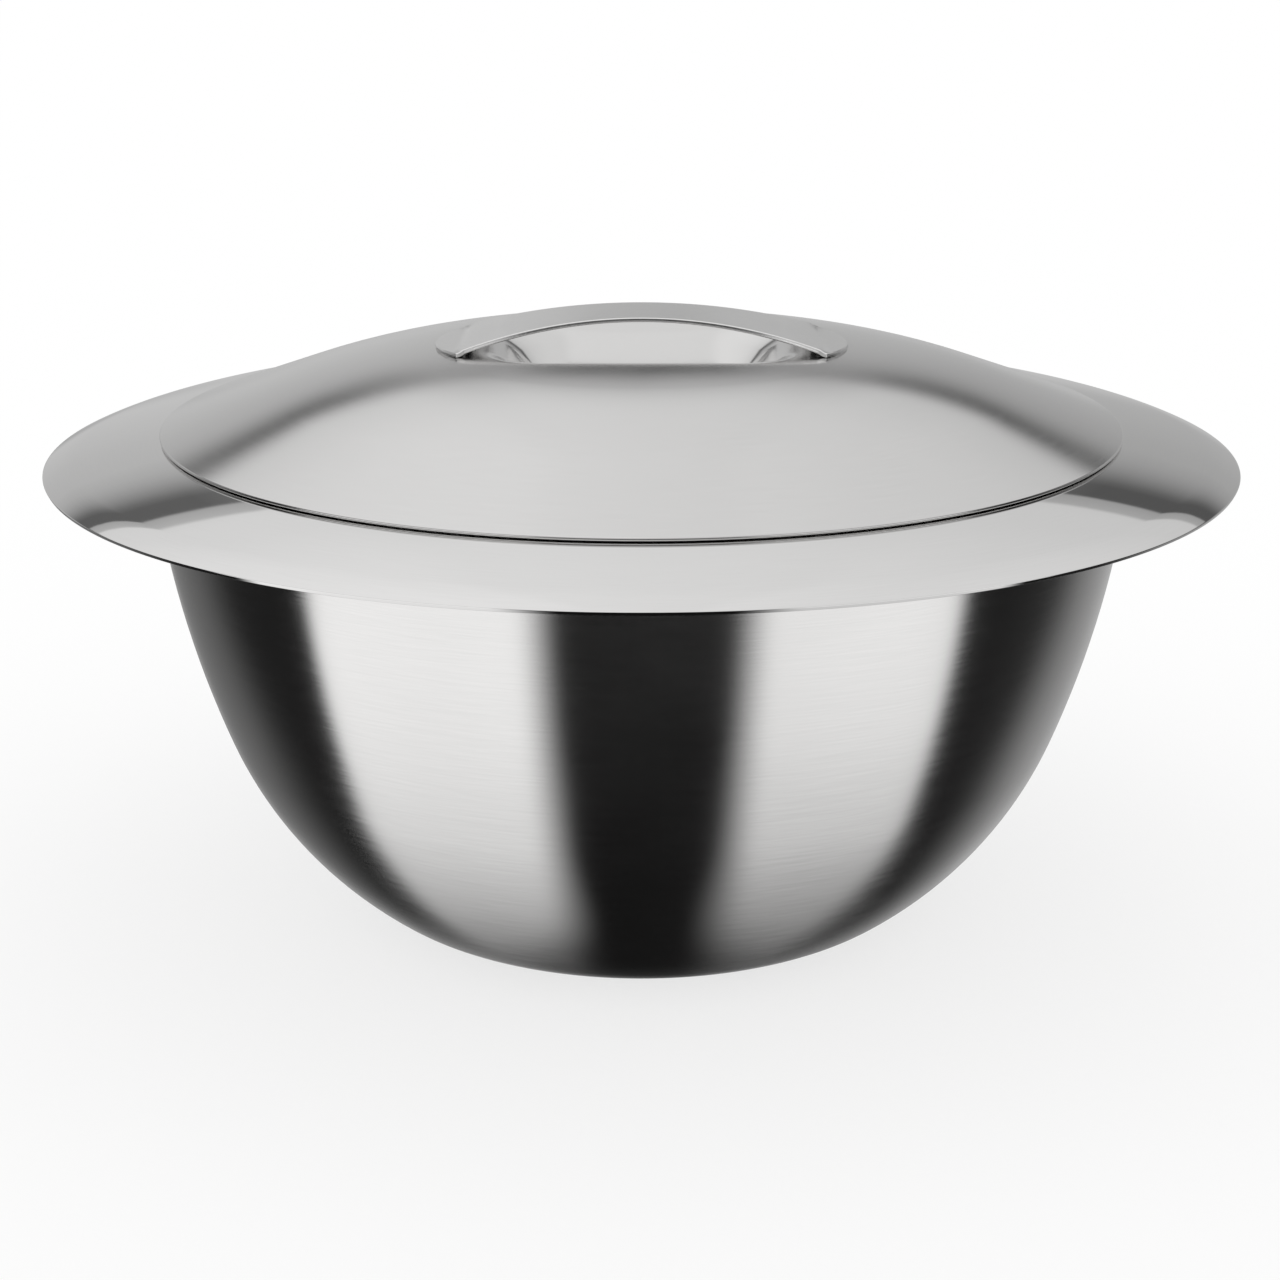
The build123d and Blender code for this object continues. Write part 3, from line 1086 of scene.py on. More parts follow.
@dataclass(frozen=True)
class Lid:
    """The domed lid with its finger recess, and the pan under it."""

    seat: BrimSeat
    hem_end_gap: float = 0.3
    hem_bend_gap: float = 1.2
    dome_edge_slope: float = 19.6
    cone_width: float = 28.35
    crown_radius: float = 600.0
    crown_reach: float = 58.0
    skirt_gap: float = 1.5
    pan_drop: float = 9.7
    pan_corner: float = 6.0
    pan_flange_bend: float = 2.0
    recess_half_width: float = 30.0
    recess_half_length: float = 40.0
    recess_plan_radius: float = 21.0
    recess_depth: float = 15.0
    recess_wall_slope: float = 50.0
    recess_corner: float = 8.0
    lip_radius: float = 14.0

    @cached_property
    def cone_end(self) -> tuple[float, float]:
        """Where the dome runs into its folded edge."""
        out, up = self.seat.hem_centre
        slope = self.dome_edge_slope
        return out + self.seat.hem_radius * sine(slope), up + self.seat.hem_radius * cosine(slope)

    @cached_property
    def crown_slope(self) -> float:
        """Slope at which the flat crown runs into the shoulder."""
        return math.degrees(math.asin(self.crown_reach / self.crown_radius))

    @cached_property
    def shoulder_radius(self) -> float:
        """Radius of the bend between the flat crown and the cone."""
        width = self.cone_end[0] - self.cone_width - self.crown_reach
        return width / (sine(self.dome_edge_slope) - sine(self.crown_slope))

    @cached_property
    def shoulder_height(self) -> float:
        """Height at which the flat crown runs into the shoulder."""
        rise = self.shoulder_radius * (cosine(self.crown_slope) - cosine(self.dome_edge_slope))
        return self.cone_end[1] + self.cone_width * tangent(self.dome_edge_slope) + rise

    @cached_property
    def crown_height(self) -> float:
        """Height that the crown would reach without the recess."""
        return self.shoulder_height + self.crown_radius * (1 - cosine(self.crown_slope))

    @cached_property
    def floor_height(self) -> float:
        """Height of the recess's floor."""
        return self.crown_height - self.recess_depth

    @cached_property
    def skirt_radius(self) -> float:
        """Outer radius of the pan's upright skirt."""
        return self.seat.mouth_radius - self.skirt_gap

    @cached_property
    def flange_reach(self) -> float:
        """Length of the folded edge, from the pan's bend to the centre of the fold."""
        bend_end = self.skirt_radius + self.pan_flange_bend * (1 + sine(self.dome_edge_slope))
        return (self.seat.hem_centre[0] - bend_end) / cosine(self.dome_edge_slope)

    @cached_property
    def floor_growth(self) -> float:
        """Growth of the recess's plan down to the edge of the flat floor, which lies inside it."""
        slope = self.recess_wall_slope
        return -self.recess_depth / tangent(slope) - self.recess_corner * tangent(slope / 2)

    def plan_reach(self, azimuth: float, growth: float) -> tuple[float, float]:
        """The recess's plan, a rounded oblong, seen from the axis.

        Args:
            azimuth: Azimuth of the view, in radians.
            growth: How far the plan is grown.

        Returns:
            Radius of the grown plan, and how squarely it is met, from nothing to one.
        """
        along, across = abs(math.cos(azimuth)), abs(math.sin(azimuth))
        middle_out = self.recess_half_length - self.recess_plan_radius
        middle_across = self.recess_half_width - self.recess_plan_radius
        end, side = self.recess_half_length + growth, self.recess_half_width + growth
        if end * across <= middle_across * along:
            return end / along, along
        if side * along <= middle_out * across:
            return side / across, across
        corner = self.recess_plan_radius + growth
        facing = middle_out * along + middle_across * across
        reach = facing + math.sqrt(facing ** 2 - middle_out ** 2 - middle_across ** 2 + corner ** 2)
        return reach, (reach - facing) / corner

    def recess_face(self, azimuth: float) -> list[Spot]:
        """The recess, its rolled lip and the crown in the upright plane at an azimuth.

        Args:
            azimuth: Azimuth of the plane, in radians.

        Returns:
            Points of the face, from the middle of the floor to the start of the shoulder.
        """
        slope, corner, lip = self.recess_wall_slope, self.recess_corner, self.lip_radius
        floor_out = self.plan_reach(azimuth, self.floor_growth)[0]
        runs = [(share * floor_out, self.floor_height, 0.0) for share in FLOOR_SHARES]
        for swing in np.linspace(0, slope, CORNER_STEPS)[1:]:
            out, lean = self.plan_reach(azimuth, self.floor_growth + corner * sine(swing))
            heading = math.degrees(math.atan(tangent(swing) * lean))
            runs.append((out, self.floor_height + corner * (1 - cosine(swing)), heading))
        wall_start = self.floor_growth + corner * sine(slope)
        for growth in np.linspace(wall_start, -lip * sine(slope / 2), WALL_STEPS)[1:]:
            out, lean = self.plan_reach(azimuth, float(growth))
            heading = math.degrees(math.atan(tangent(slope) * lean))
            runs.append((out, self.crown_height + growth * tangent(slope), heading))
        wall_out, wall_up, rise = runs[-1]
        way = (cosine(rise), sine(rise))
        crown_centre = self.crown_height - self.crown_radius
        from_centre = (wall_out + lip * sine(rise), wall_up - lip * cosine(rise) - crown_centre)
        along = from_centre[0] * way[0] + from_centre[1] * way[1]
        spare = from_centre[0] ** 2 + from_centre[1] ** 2 - (self.crown_radius - lip) ** 2
        length = math.sqrt(along ** 2 - spare) - along
        lip_out = from_centre[0] + length * way[0]
        lip_up = from_centre[1] + length * way[1]
        fall = math.degrees(math.atan2(lip_out, lip_up))
        for heading in np.linspace(rise, -fall, LIP_STEPS):
            height = crown_centre + lip_up + lip * cosine(heading)
            runs.append((lip_out - lip * sine(heading), height, heading))
        for swing in np.linspace(fall, self.crown_slope, CROWN_STEPS)[1:]:
            height = crown_centre + self.crown_radius * cosine(swing)
            runs.append((self.crown_radius * sine(swing), height, -swing))
        return [Spot(out, up, -sine(heading), cosine(heading)) for out, up, heading in runs]

    def fold_face(self) -> list[Spot]:
        """The shoulder, the cone, the folded edge and the part turned back under the pan's flange.

        Returns:
            Points of the face, without the one that ends the crown.
        """
        slope = self.dome_edge_slope
        walk = Walk(self.crown_reach, self.shoulder_height, heading=-self.crown_slope)
        walk.turn(self.shoulder_radius, self.crown_slope - slope)
        walk.line(self.cone_width / cosine(slope))
        walk.turn(self.seat.hem_radius, -180)
        walk.line(self.flange_reach - self.hem_bend_gap)
        return walk.spots[1:]

    def height_at(self, out: float, across: float) -> float:
        """Height of the lid's top at a place, for what is fitted to the recess.

        Args:
            out: Place along X.
            across: Place along Y.

        Returns:
            The height.
        """
        face = self.recess_face(math.atan2(across, out))
        radii = [spot.radius for spot in face]
        return float(np.interp(math.hypot(out, across), radii, [spot.height for spot in face]))

    def dome_rings(self) -> list[Ring]:
        """Rings of the pressed dome: its face, the edge of the sheet and the face behind.

        Returns:
            The rings in order.
        """
        fold = self.fold_face()
        faces = [self.recess_face(turn) + fold for turn in TURNS]
        sheet = self.seat.lid_sheet
        rings = []
        onward = np.zeros_like(WAYS)
        for row in zip(*faces):
            radii, heights, outs, ups = (
                np.array([[getattr(spot, name)] for spot in row])
                for name in ("radius", "height", "normal_out", "normal_up")
            )
            points = radii * WAYS + heights * UP
            if radii.max() <= ON_AXIS:
                rings.append(Ring(points[:1], np.array([UP])))
                continue
            onward = ups * WAYS - outs * UP
            around = np.roll(points, -1, axis=0) - np.roll(points, 1, axis=0)
            normals = np.cross(onward, around)
            normals /= np.linalg.norm(normals, axis=1, keepdims=True)
            rings.append(Ring(points, normals))
        edge = rings[-1]
        middle = edge.points - edge.normals * (sheet / 2)
        back = [Ring(ring.points - sheet * ring.normals, -ring.normals) for ring in reversed(rings)]
        for swing in np.linspace(0, 180, EDGE_STEPS)[1:-1]:
            normals = edge.normals * cosine(swing) + onward * sine(swing)
            rings.append(Ring(middle + normals * (sheet / 2), normals))
        return rings + back

    def pan_section(self) -> list[Spot]:
        """Section of the pan: flat underside, upright skirt and the flange in the lid's folded edge.

        Returns:
            Points round the section.
        """
        seat, slope = self.seat, self.dome_edge_slope
        bend_radius = self.skirt_radius + self.pan_flange_bend
        flange_middle = seat.hem_centre[1] + (seat.hem_centre[0] - bend_radius) * tangent(slope)
        skirt_top = flange_middle - (seat.pan_sheet / 2 + self.pan_flange_bend) / cosine(slope)
        walk = Walk(0.0, seat.seat_height - self.pan_drop, face=Face.RIGHT)
        walk.line(self.skirt_radius - self.pan_corner).turn(self.pan_corner, 90)
        walk.line(skirt_top - walk.height)
        walk.turn(self.pan_flange_bend, -90 - slope)
        walk.line(self.flange_reach - self.hem_end_gap - seat.pan_sheet / 2)
        return walk.sheet(seat.pan_sheet)

    def build(self, effects: Effects) -> None:
        """Makes and dresses the lid's pieces.

        Args:
            effects: The shared node groups.
        """
        dress(skin("lid_dome", self.dome_rings()), "lid", "soft_polished_steel", "lid_outer_shell",
              DOME.build(effects))
        dress(turned("lid_pan", self.pan_section()), "lid", "satin_steel", "lid_inner_pan",
              PAN.build(effects))


@dataclass(frozen=True)
class StrapHandle:
    """The waisted strap that bridges the recess, with two rounded feet that lie on the crown."""

    lid: Lid
    sheet: float = 1.2
    rise: float = 6.9
    half_span: float = 48.8
    step_run: float = 2.2
    sag: float = 7.04
    bend: float = 3.0
    bend_turn: float = 18.0
    foot: float = 6.9
    foot_slope: float = 4.9
    waist: float = 25.0
    end_width: float = 42.0
    edge_round: float = 0.3
    sink: float = 0.12
    stations: int = 64
    spans_across: int = 16
    edge_steps: int = 4

    @cached_property
    def arch_reach(self) -> float:
        """Place along X where the arch ends and the step down starts."""
        return self.half_span - self.step_run

    @cached_property
    def arch_radius(self) -> float:
        """Radius of the arch."""
        return (self.arch_reach ** 2 + self.sag ** 2) / (2 * self.sag)

    @cached_property
    def arch_slope(self) -> float:
        """Fall of the arch where its bend starts."""
        return math.degrees(math.asin(self.arch_reach / self.arch_radius))

    @cached_property
    def waist_radius(self) -> float:
        """Radius of the hollow sides."""
        depth = (self.end_width - self.waist) / 2
        return (self.half_span ** 2 + depth ** 2) / (2 * depth)

    @cached_property
    def end_radius(self) -> float:
        """Radius of the rounded ends in plan."""
        return ((self.end_width / 2) ** 2 + self.foot ** 2) / (2 * self.foot)

    @cached_property
    def end_middle(self) -> float:
        """Place along X of the middle of the rounded end."""
        return self.half_span + self.foot - self.end_radius

    def half_width(self, out: float) -> float:
        """Half the width of the strap at a place along it, up to the start of its foot."""
        place = min(out, self.half_span)
        return self.waist / 2 + self.waist_radius - math.sqrt(self.waist_radius ** 2 - place ** 2)

    def top_at(self, run: float) -> tuple[float, float, float]:
        """The top face at a length from the middle.

        Args:
            run: Length along the strap.

        Returns:
            Place along X, height and fall of the strap there.
        """
        steep = self.arch_slope + self.bend_turn
        out, height, fall = 0.0, self.lid.crown_height + self.rise, 0.0
        arcs = ((self.arch_radius, self.arch_slope), (self.bend, steep), (-self.bend, self.foot_slope))
        for radius, finish in arcs:
            length = radius * math.radians(finish - fall)
            start = fall
            fall += (finish - fall) * min(run / length, 1.0)
            out += radius * (sine(fall) - sine(start))
            height -= radius * (cosine(start) - cosine(fall))
            run -= min(run, length)
        return out + run * cosine(fall), height - run * sine(fall), fall

    def outline(self) -> list[tuple[float, float, float]]:
        """The strap's section, as points round it.

        Returns:
            For each point its share of the half width, its depth under the top and the angle of its normal.
        """
        steps = np.linspace(0, 90, self.edge_steps + 1)
        shares = np.linspace(-1, 1, self.spans_across + 1)
        lower = self.sheet - self.edge_round
        spots = [(share, 0.0, 90.0) for share in shares[:-1]]
        spots += [(1.0, self.edge_round * (1 - cosine(step)), 90.0 - step) for step in steps]
        spots += [(1.0, lower + self.edge_round * sine(step), -step) for step in steps[:-1]]
        spots += [(share, self.sheet, -90.0) for share in shares[::-1][:-1]]
        spots += [(-1.0, lower + self.edge_round * cosine(step), -90.0 - step) for step in steps]
        spots += [(-1.0, self.edge_round * (1 - sine(step)), 180.0 - step) for step in steps[:-1]]
        return spots

    def point(self, spot: tuple[float, float, float], run: float) -> np.ndarray:
        """A point of the strap's skin.

        Args:
            spot: Point of the section.
            run: Length along the strap from its middle.

        Returns:
            The place, in millimetres.
        """
        share, depth, facing = spot
        out, height, fall = self.top_at(run)
        reach = self.half_width(out) - self.edge_round
        rounding = self.edge_round * cosine(facing) if abs(share) == 1.0 else 0.0
        return np.array([out - depth * sine(fall), share * reach + rounding, height - depth * cosine(fall)])

    def on_crown(self, place: np.ndarray) -> np.ndarray:
        """A point of the strap, lifted to the crown if it would lie inside the lid.

        Args:
            place: The point.

        Returns:
            The point to be used.
        """
        if place[0] < self.lid.recess_half_length:
            return place
        ground = self.lid.height_at(place[0], place[1]) - self.sink
        return np.array([place[0], place[1], max(place[2], ground)])

    def run_to_end(self, spot: tuple[float, float, float]) -> float:
        """Length from the middle to where a line of the strap ends.

        Args:
            spot: Point of the section that the line runs through.

        Returns:
            The length.
        """
        near, far = self.half_span / 2, self.half_span + SEARCH_FEET * self.foot
        for _ in range(BISECTIONS):
            middle = (near + far) / 2
            place = self.point(spot, middle)
            inside = math.hypot(place[0] - self.end_middle, place[1]) < self.end_radius
            near, far = (middle, far) if inside else (near, middle)
        return near

    def end_ring(self, spots: Sequence[tuple[float, float, float]], reaches: Sequence[float]) -> Ring:
        """The ring round the upright end of a foot.

        Args:
            spots: Points of the section.
            reaches: Length of the strap's line through each of them.

        Returns:
            The ring, looking straight out of the end.
        """
        points = []
        for (share, depth, _), reach in zip(spots, reaches):
            level = min(max(depth, self.edge_round), self.sheet - self.edge_round)
            points.append(self.on_crown(self.point((share, level, 90.0), reach)))
        grid = np.array(points)
        ways = (grid - np.array([self.end_middle, 0.0, 0.0])) * np.array([1.0, 1.0, 0.0])
        return Ring(grid, ways / np.linalg.norm(ways, axis=1, keepdims=True))

    def rings(self) -> list[Ring]:
        """Rings round the strap, from one end to the other.

        Returns:
            The rings in order.
        """
        spots = self.outline()
        reaches = [self.run_to_end(spot) for spot in spots]
        shares = np.sin(np.linspace(0, math.pi / 2, self.stations))
        half = []
        for share in shares:
            runs = [share * (reach - self.edge_round) for reach in reaches]
            half.append(np.array([self.on_crown(self.point(spot, run)) for spot, run in zip(spots, runs)]))
        mirror = np.array([-1.0, 1.0, 1.0])
        grid = np.array([points * mirror for points in half[:0:-1]] + half)
        along = np.gradient(grid, axis=0)
        around = np.roll(grid, -1, axis=1) - np.roll(grid, 1, axis=1)
        normals = np.cross(around, along)
        normals /= np.linalg.norm(normals, axis=2, keepdims=True)
        facing = np.array([[0.0, cosine(spot[2]), sine(spot[2])] for spot in spots])
        normals *= np.sign((normals * facing).sum(axis=2, keepdims=True))
        middle = [Ring(points, ways) for points, ways in zip(grid, normals)]
        end = self.end_ring(spots, reaches)
        return [Ring(end.points * mirror, end.normals * mirror)] + middle + [end]

    def build(self, effects: Effects) -> None:
        """Makes and dresses the strap.

        Args:
            effects: The shared node groups.
        """
        dress(skin("strap_handle", self.rings(), Ends.CAPPED), "lid", "satin_steel", "handle_strap",
              STRAP.build(effects))


@dataclass(frozen=True)
class Filling:
    """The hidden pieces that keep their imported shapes: both foam fillings and the plug."""

    foam_nodes: tuple[str, ...] = ("bowl_insulation", "lid_insulation")
    plug_node: str = "fill_plug"

    def build(self, effects: Effects) -> None:
        """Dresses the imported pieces.

        Args:
            effects: The shared node groups.
        """
        foam = Foam().build()
        for name in self.foam_nodes:
            self.dress_node(name, foam)
        self.dress_node(self.plug_node, Rubber().build(effects))

    def dress_node(self, name: str, material: bpy.types.Material) -> None:
        """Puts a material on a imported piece.

        Args:
            name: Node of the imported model.
            material: The material.
        """
        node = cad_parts[name]
        node.data.materials.clear()
        node.data.materials.append(material)
        LOG.info("%s keeps its packed shape", name)


@dataclass(frozen=True)
class Gradient:
    """A value that runs straight from stop to stop, each with its place and its level."""

    stops: tuple[tuple[float, float], ...]

    def value(self, graph: Graph, place: bpy.types.NodeSocket) -> bpy.types.NodeSocket:
        """The gradient in a material.

        Args:
            graph: The material's tree.
            place: Where it is read.

        Returns:
            Its level there.
        """
        level: Value = self.stops[0][1]
        for (start, low), (end, high) in zip(self.stops, self.stops[1:]):
            level = graph.math("ADD", graph.ramp(place, start, end, 0.0, high - low), level)
        return level


@dataclass(frozen=True)
class Sight:
    """A direction from the object in the surround's material.

    It goes so far to the right, away and up, and so far level, with its angles in degrees; to_right runs
    from nothing on the left to one on the right.
    """

    right: bpy.types.NodeSocket
    away: bpy.types.NodeSocket
    up: bpy.types.NodeSocket
    level: bpy.types.NodeSocket
    elevation: bpy.types.NodeSocket
    from_back: bpy.types.NodeSocket
    to_right: bpy.types.NodeSocket


@dataclass(frozen=True)
class Studio:
    """White floor and background, with lit and dark cards that only the steel's reflections see.

    The cards are given by direction from the object. Below the level two lit cards stand left and right of
    a dark strip, and a wall closes the back. Above it the wall goes on up to a dark gap, a softbox hangs
    over the gap, and a card closes the front. Right of the middle the lights take the right side's values.

    The gradients of the side cards run over the lean of the wall that mirrors them, seen along a line that
    falls by view_fall. Those of the low wall, the gap's rise and its depth run over the angle from straight
    back, that of the high wall over the elevation, and those of the gap's shade and the softbox over the
    elevation above the gap. Lengths are in metres.
    """

    strip_left: float = 0.166
    strip_right: float = 0.192
    strip_spread: float = 0.25
    strip_feather: float = 0.09
    cards_left: Gradient = Gradient((
        (0.1, 1.4), (0.18, 1.37), (0.23, 1.35), (0.3, 1.25), (0.4, 0.97), (0.48, 0.83), (0.56, 0.68),
        (0.7, 0.3), (0.85, 0.05),
    ))
    cards_right: Gradient = Gradient((
        (0.1, 1.33), (0.18, 1.3), (0.22, 1.27), (0.29, 1.11), (0.39, 0.76), (0.47, 0.6), (0.55, 0.48),
        (0.7, 0.22), (0.85, 0.04),
    ))
    view_fall: float = 17.0
    card_end_left: float = 0.832
    card_end_right: float = 0.757
    card_end_taper: float = 0.06
    card_end_feather: float = 0.05
    low_wall_left: Gradient = Gradient((
        (0.0, 0.57), (12.0, 0.55), (20.0, 0.4), (25.0, 0.24), (35.0, 0.19), (50.0, 0.13), (60.0, 0.05),
        (66.0, 0.01),
    ))
    low_wall_right: Gradient = Gradient((
        (0.0, 0.55), (12.0, 0.54), (20.0, 0.52), (25.0, 0.49), (35.0, 0.4), (50.0, 0.26), (60.0, 0.09),
        (66.0, 0.02), (90.0, 0.01),
    ))
    low_wall_foot: tuple[float, float] = (0.62, 0.88)
    gap_level: float = 19.8
    gap_rise: Gradient = Gradient((
        (0.0, 2.4), (3.0, 1.4), (6.0, 0.2), (10.0, 2.4), (13.0, 3.6), (16.0, 4.5), (19.0, 5.1), (22.0, 5.5),
        (30.0, 6.2),
    ))
    gap_shade: Gradient = Gradient((
        (-9.0, 0.1), (-7.0, 0.2), (-6.0, 0.3), (-5.0, 0.45), (-4.0, 0.65), (-3.0, 0.88), (-2.2, 1.0),
    ))
    gap_depth: Gradient = Gradient((
        (0.0, 0.97), (3.0, 0.9), (5.5, 0.4), (9.0, 0.4), (13.0, 0.62), (18.0, 0.78),
    ))
    high_wall: Gradient = Gradient(((0.0, 0.65), (6.0, 0.64), (9.0, 0.63), (12.0, 0.61), (20.0, 0.58)))
    high_wall_ends: tuple[float, float] = (45.0, 95.0)
    softbox_middle: Gradient = Gradient((
        (-0.5, 0.0), (0.3, 0.48), (1.5, 0.6), (2.5, 0.65), (4.0, 0.7), (6.5, 0.79), (9.0, 0.86), (13.0, 0.92),
        (18.0, 0.95), (25.0, 0.97), (35.0, 1.0),
    ))
    softbox_sides: Gradient = Gradient((
        (-0.3, 0.0), (0.1, 0.46), (1.5, 0.54), (1.9, 0.82), (3.0, 0.84), (6.0, 0.86), (10.0, 0.91),
        (15.0, 0.96), (25.0, 1.01), (35.0, 1.04),
    ))
    softbox_split: tuple[float, float] = (8.0, 14.0)
    front_card: float = 0.42
    front_card_ends: tuple[float, float] = (85.0, 115.0)
    level_blend: float = 3.0
    right_blend: float = 0.25
    right_wall: float = 0.78
    right_softbox: float = 0.87
    right_gap: float = 0.6
    shade: float = 0.008
    reach: float = 4.0
    middle: float = 0.08
    globe_steps: tuple[int, int] = (64, 32)
    floor_reach: float = 12.0
    world_level: float = 1.0
    floor_colour: float = 0.3
    floor_glow: float = 0.7

    def build(self) -> None:
        """Makes the world, the floor and the surround."""
        self.light_world()
        self.lay_floor()
        self.hang_surround()

    def seen_straight(self, graph: Graph) -> bpy.types.NodeSocket:
        """Tells rays that show the background from those that light the object.

        Args:
            graph: A tree of the background.

        Returns:
            One for rays from the camera, in reflections and through glass, and nothing for others.
        """
        path = graph.add("ShaderNodeLightPath").outputs
        rays = graph.math("ADD", path["Is Camera Ray"], path["Is Glossy Ray"])
        return graph.math("MINIMUM", graph.math("ADD", rays, path["Is Transmission Ray"]), 1.0)

    def light_world(self) -> None:
        """White world, which is also the soft light on dull surfaces."""
        world = bpy.data.worlds.new("white_studio")
        world.use_nodes = True
        graph = Graph(world.node_tree)
        background = world.node_tree.nodes["Background"]
        background.inputs["Color"].default_value = (1, 1, 1, 1)
        graph.feed(background.inputs["Strength"],
                   graph.ramp(self.seen_straight(graph), 0.0, 1.0, self.world_level, 1.0))
        bpy.context.scene.world = world

    def lay_floor(self) -> None:
        """Pale floor that shows as white and keeps the object's shadow."""
        mesh = bpy.data.meshes.new("floor")
        reach = self.floor_reach
        mesh.from_pydata([(-reach, -reach, 0), (reach, -reach, 0), (reach, reach, 0), (-reach, reach, 0)], [],
                         [(0, 1, 2, 3)])
        floor = bpy.data.objects.new("floor", mesh)
        bpy.context.scene.collection.objects.link(floor)
        material, graph = bare_material("floor_white")
        paper = graph.add("ShaderNodeBsdfDiffuse")
        paper.inputs["Color"].default_value = (*[self.floor_colour] * 3, 1)
        glow = graph.add("ShaderNodeEmission")
        graph.feed(glow.inputs["Strength"], graph.product(self.seen_straight(graph), self.floor_glow))
        both = graph.add("ShaderNodeAddShader")
        graph.feed(both.inputs[0], paper.outputs[0])
        graph.feed(both.inputs[1], glow.outputs[0])
        graph.feed(graph.add("ShaderNodeOutputMaterial").inputs["Surface"], both.outputs[0])
        mesh.materials.append(material)
        floor.visible_glossy = False

    def hang_surround(self) -> None:
        """A globe round the object that carries the light of the cards."""
        mesh = bpy.data.meshes.new("surround")
        globe = bpy.data.objects.new("surround", mesh)
        around, upwards = self.globe_steps
        build = bmesh.new()
        bmesh.ops.create_uvsphere(build, u_segments=around, v_segments=upwards, radius=self.reach)
        build.to_mesh(mesh)
        build.free()
        globe.location = (0, 0, self.middle)
        bpy.context.scene.collection.objects.link(globe)
        mesh.materials.append(self.surround_material())
        for ray in ("camera", "diffuse", "shadow", "transmission"):
            setattr(globe, f"visible_{ray}", False)

    def sight(self, graph: Graph) -> Sight:
        """The direction in which a point of the surround lies.

        Args:
            graph: The surround's tree.

        Returns:
            The direction and its angles.
        """
        position = graph.add("ShaderNodeTexCoord").outputs["Object"]
        unit = graph.add("ShaderNodeVectorMath", operation="NORMALIZE")
        graph.feed(unit.inputs[0], position)
        parts = graph.add("ShaderNodeSeparateXYZ")
        graph.feed(parts.inputs[0], unit.outputs[0])
        right, away, up = parts.outputs
        level = graph.math("MAXIMUM", graph.diagonal(right, away), ON_AXIS)
        elevation = graph.math("DEGREES", graph.math("ARCSINE", up))
        from_back = graph.math("DEGREES", graph.math("ARCCOSINE", graph.math("DIVIDE", away, level)))
        to_right = graph.ramp(right, -self.right_blend, self.right_blend)
        return Sight(right, away, up, level, elevation, from_back, to_right)

    def side_cards(self, graph: Graph, sight: Sight) -> bpy.types.NodeSocket:
        """The two lit cards below the level, with the dark strip between them.

        Args:
            graph: The surround's tree.
            sight: The direction.

        Returns:
            Their light.
        """
        aside = graph.math("ABSOLUTE", sight.right)
        to_front = graph.math("MAXIMUM", graph.product(sight.away, -1.0), 0.0)
        edge = graph.blend(sight.to_right, self.strip_left, self.strip_right)
        beyond = graph.math("SUBTRACT", aside, graph.math("MULTIPLY_ADD", to_front, self.strip_spread, edge))
        strip = graph.ramp(beyond, -self.strip_feather, self.strip_feather, smooth=True)
        lean = self.lean(graph, sight)
        level = graph.blend(sight.to_right, self.cards_left.value(graph, lean),
                            self.cards_right.value(graph, lean))
        end = graph.blend(sight.to_right, self.card_end_left, self.card_end_right)
        taper = graph.math("MULTIPLY_ADD", sight.level, self.card_end_taper, -self.card_end_taper)
        past_end = graph.math("SUBTRACT", graph.math("ADD", aside, sight.away), graph.math("ADD", end, taper))
        inside = graph.ramp(past_end, -self.card_end_feather, self.card_end_feather, 1.0, 0.0, smooth=True)
        return graph.product(strip, inside, level)

    def lean(self, graph: Graph, sight: Sight) -> bpy.types.NodeSocket:
        """How far a wall that mirrors a direction towards the front leans over.

        Args:
            graph: The surround's tree.
            sight: The direction.

        Returns:
            The fall of the wall's normal: nothing for an upright wall and one for a ceiling.
        """
        fall = sine(self.view_fall)
        along = graph.math("MULTIPLY_ADD", sight.up, -fall, graph.product(sight.away, cosine(self.view_fall)))
        apart = graph.math("SQRT", graph.math("MULTIPLY_ADD", along, -2.0, 2.0))
        return graph.math("DIVIDE", graph.math("SUBTRACT", -fall, sight.up), apart)

    def wall_below(self, graph: Graph, sight: Sight) -> bpy.types.NodeSocket:
        """The back wall below the level, which doesn't reach the floor under the object.

        Args:
            graph: The surround's tree.
            sight: The direction.

        Returns:
            Its light.
        """
        wall = graph.blend(sight.to_right, self.low_wall_left.value(graph, sight.from_back),
                           self.low_wall_right.value(graph, sight.from_back))
        return graph.product(wall, graph.ramp(sight.level, *self.low_wall_foot, smooth=True))

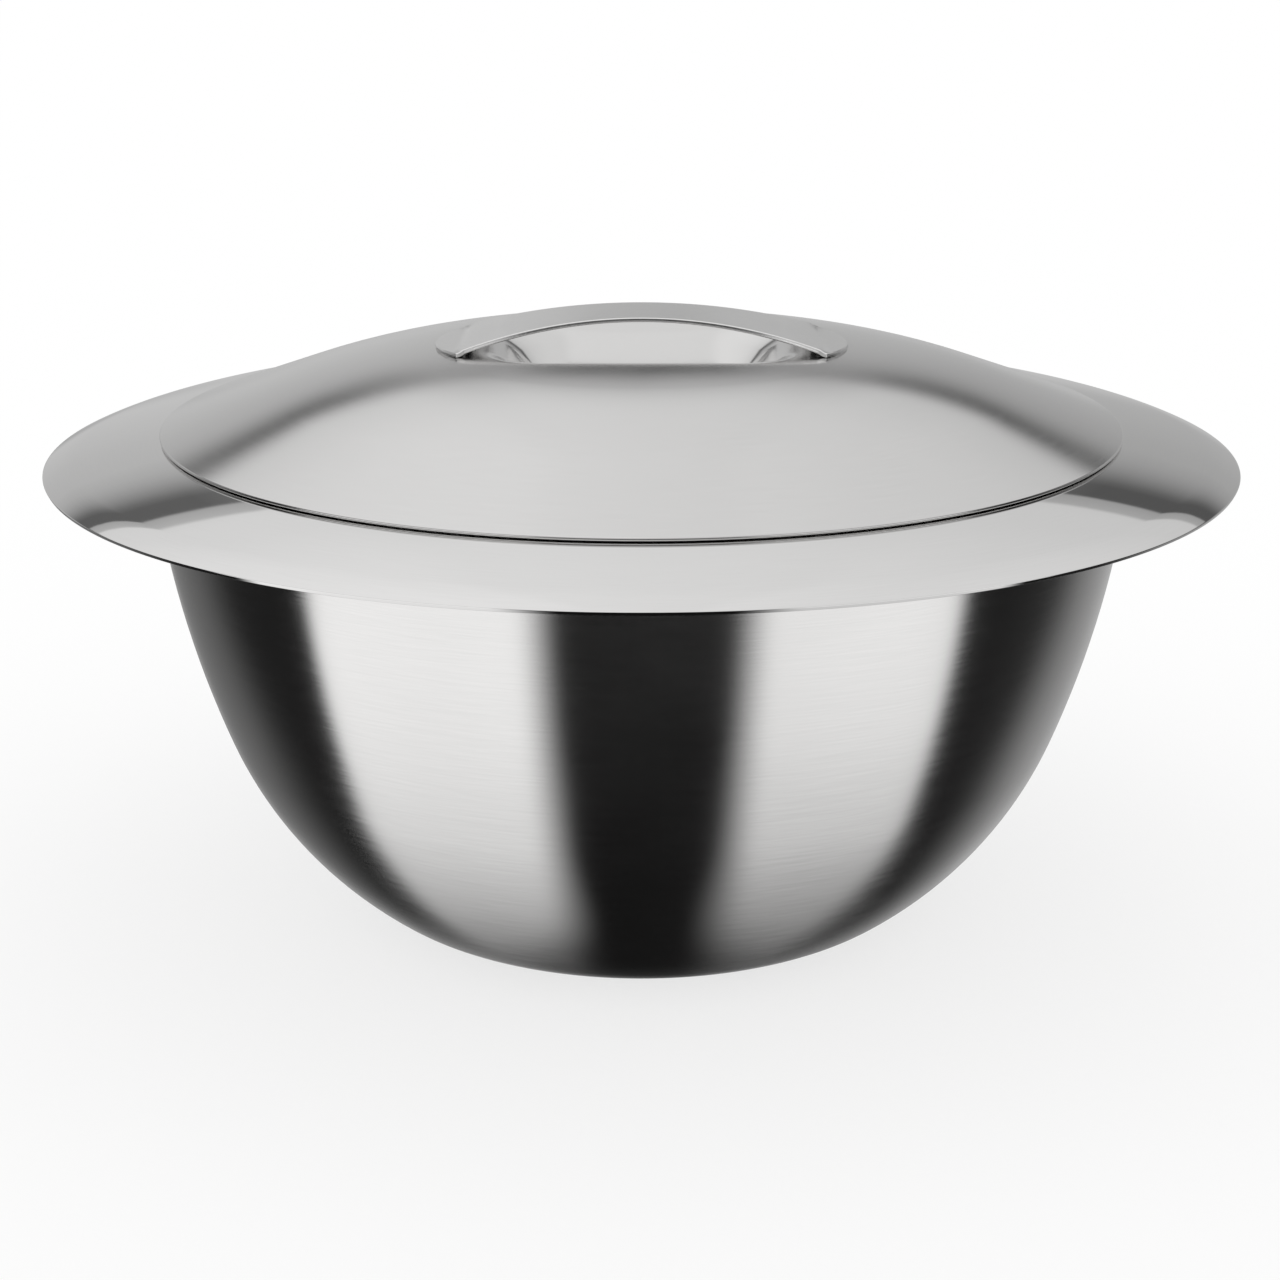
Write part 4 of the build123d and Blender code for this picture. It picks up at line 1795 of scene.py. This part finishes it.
    def light_above(self, graph: Graph, sight: Sight) -> bpy.types.NodeSocket:
        """The back wall above the level, the dark gap over it and the softbox overhead.

        Args:
            graph: The surround's tree.
            sight: The direction.

        Returns:
            Their light.
        """
        wall_share, softbox_share, gap_share = (
            graph.blend(sight.to_right, 1.0, share)
            for share in (self.right_wall, self.right_softbox, self.right_gap)
        )
        rise = graph.product(self.gap_rise.value(graph, sight.from_back), gap_share)
        over_gap = graph.math("SUBTRACT", sight.elevation, graph.math("ADD", rise, self.gap_level))
        shade = graph.product(self.gap_shade.value(graph, over_gap),
                              self.gap_depth.value(graph, sight.from_back))
        wall = graph.product(self.high_wall.value(graph, sight.elevation),
                             graph.math("SUBTRACT", 1.0, shade),
                             graph.ramp(sight.from_back, *self.high_wall_ends, 1.0, 0.0, smooth=True),
                             wall_share)
        aside = graph.ramp(sight.from_back, *self.softbox_split, smooth=True)
        softbox = graph.product(graph.blend(aside, self.softbox_middle.value(graph, over_gap),
                                            self.softbox_sides.value(graph, over_gap)),
                                softbox_share)
        front = graph.ramp(sight.from_back, *self.front_card_ends, 0.0, self.front_card, smooth=True)
        return graph.math("MAXIMUM", graph.math("MAXIMUM", wall, softbox), front)

    def surround_material(self) -> bpy.types.Material:
        """Light of the cards by direction from the object.

        Returns:
            The surround's material.
        """
        material, graph = bare_material("card_light")
        sight = self.sight(graph)
        low = graph.math("ADD", self.side_cards(graph, sight), self.wall_below(graph, sight))
        above = graph.ramp(sight.elevation, -self.level_blend, self.level_blend, smooth=True)
        light = graph.blend(above, low, self.light_above(graph, sight))
        glow = graph.add("ShaderNodeEmission")
        graph.feed(glow.inputs["Strength"], graph.math("ADD", light, self.shade))
        graph.feed(graph.add("ShaderNodeOutputMaterial").inputs["Surface"], glow.outputs[0])
        return material


@dataclass(frozen=True)
class PhotoCamera:
    """The camera of the photograph, with its place in metres and its tilt in degrees.

    Lens and sensor are in millimetres, and the shift is a share of the frame's width.
    """

    back: float = 0.6853
    height: float = 0.2830
    tilt: float = 17.01
    lens: float = 72.0
    sensor: float = 36.0
    shift: float = -1.5 / 1280

    def build(self) -> None:
        """Makes the camera and hands it to the scene."""
        data = bpy.data.cameras.new("photo_camera")
        data.lens = self.lens
        data.sensor_width = self.sensor
        data.shift_x = self.shift
        camera = bpy.data.objects.new("photo_camera", data)
        camera.location = (0, -self.back, self.height)
        camera.rotation_euler = (math.radians(90 - self.tilt), 0, 0)
        bpy.context.scene.collection.objects.link(camera)
        bpy.context.scene.camera = camera


def main() -> None:
    """Builds the pieces, the studio and the camera."""
    logging.basicConfig(level=logging.INFO, format="%(name)s: %(message)s")
    bpy.context.scene.view_settings.view_transform = "Standard"
    effects = Effects(turned_lines(), handling_haze())
    seat = BrimSeat()
    lid = Lid(seat)
    Bowl(seat).build(effects)
    lid.build(effects)
    StrapHandle(lid).build(effects)
    Filling().build(effects)
    Studio().build()
    PhotoCamera().build()


if __name__ == "__main__":
    main()
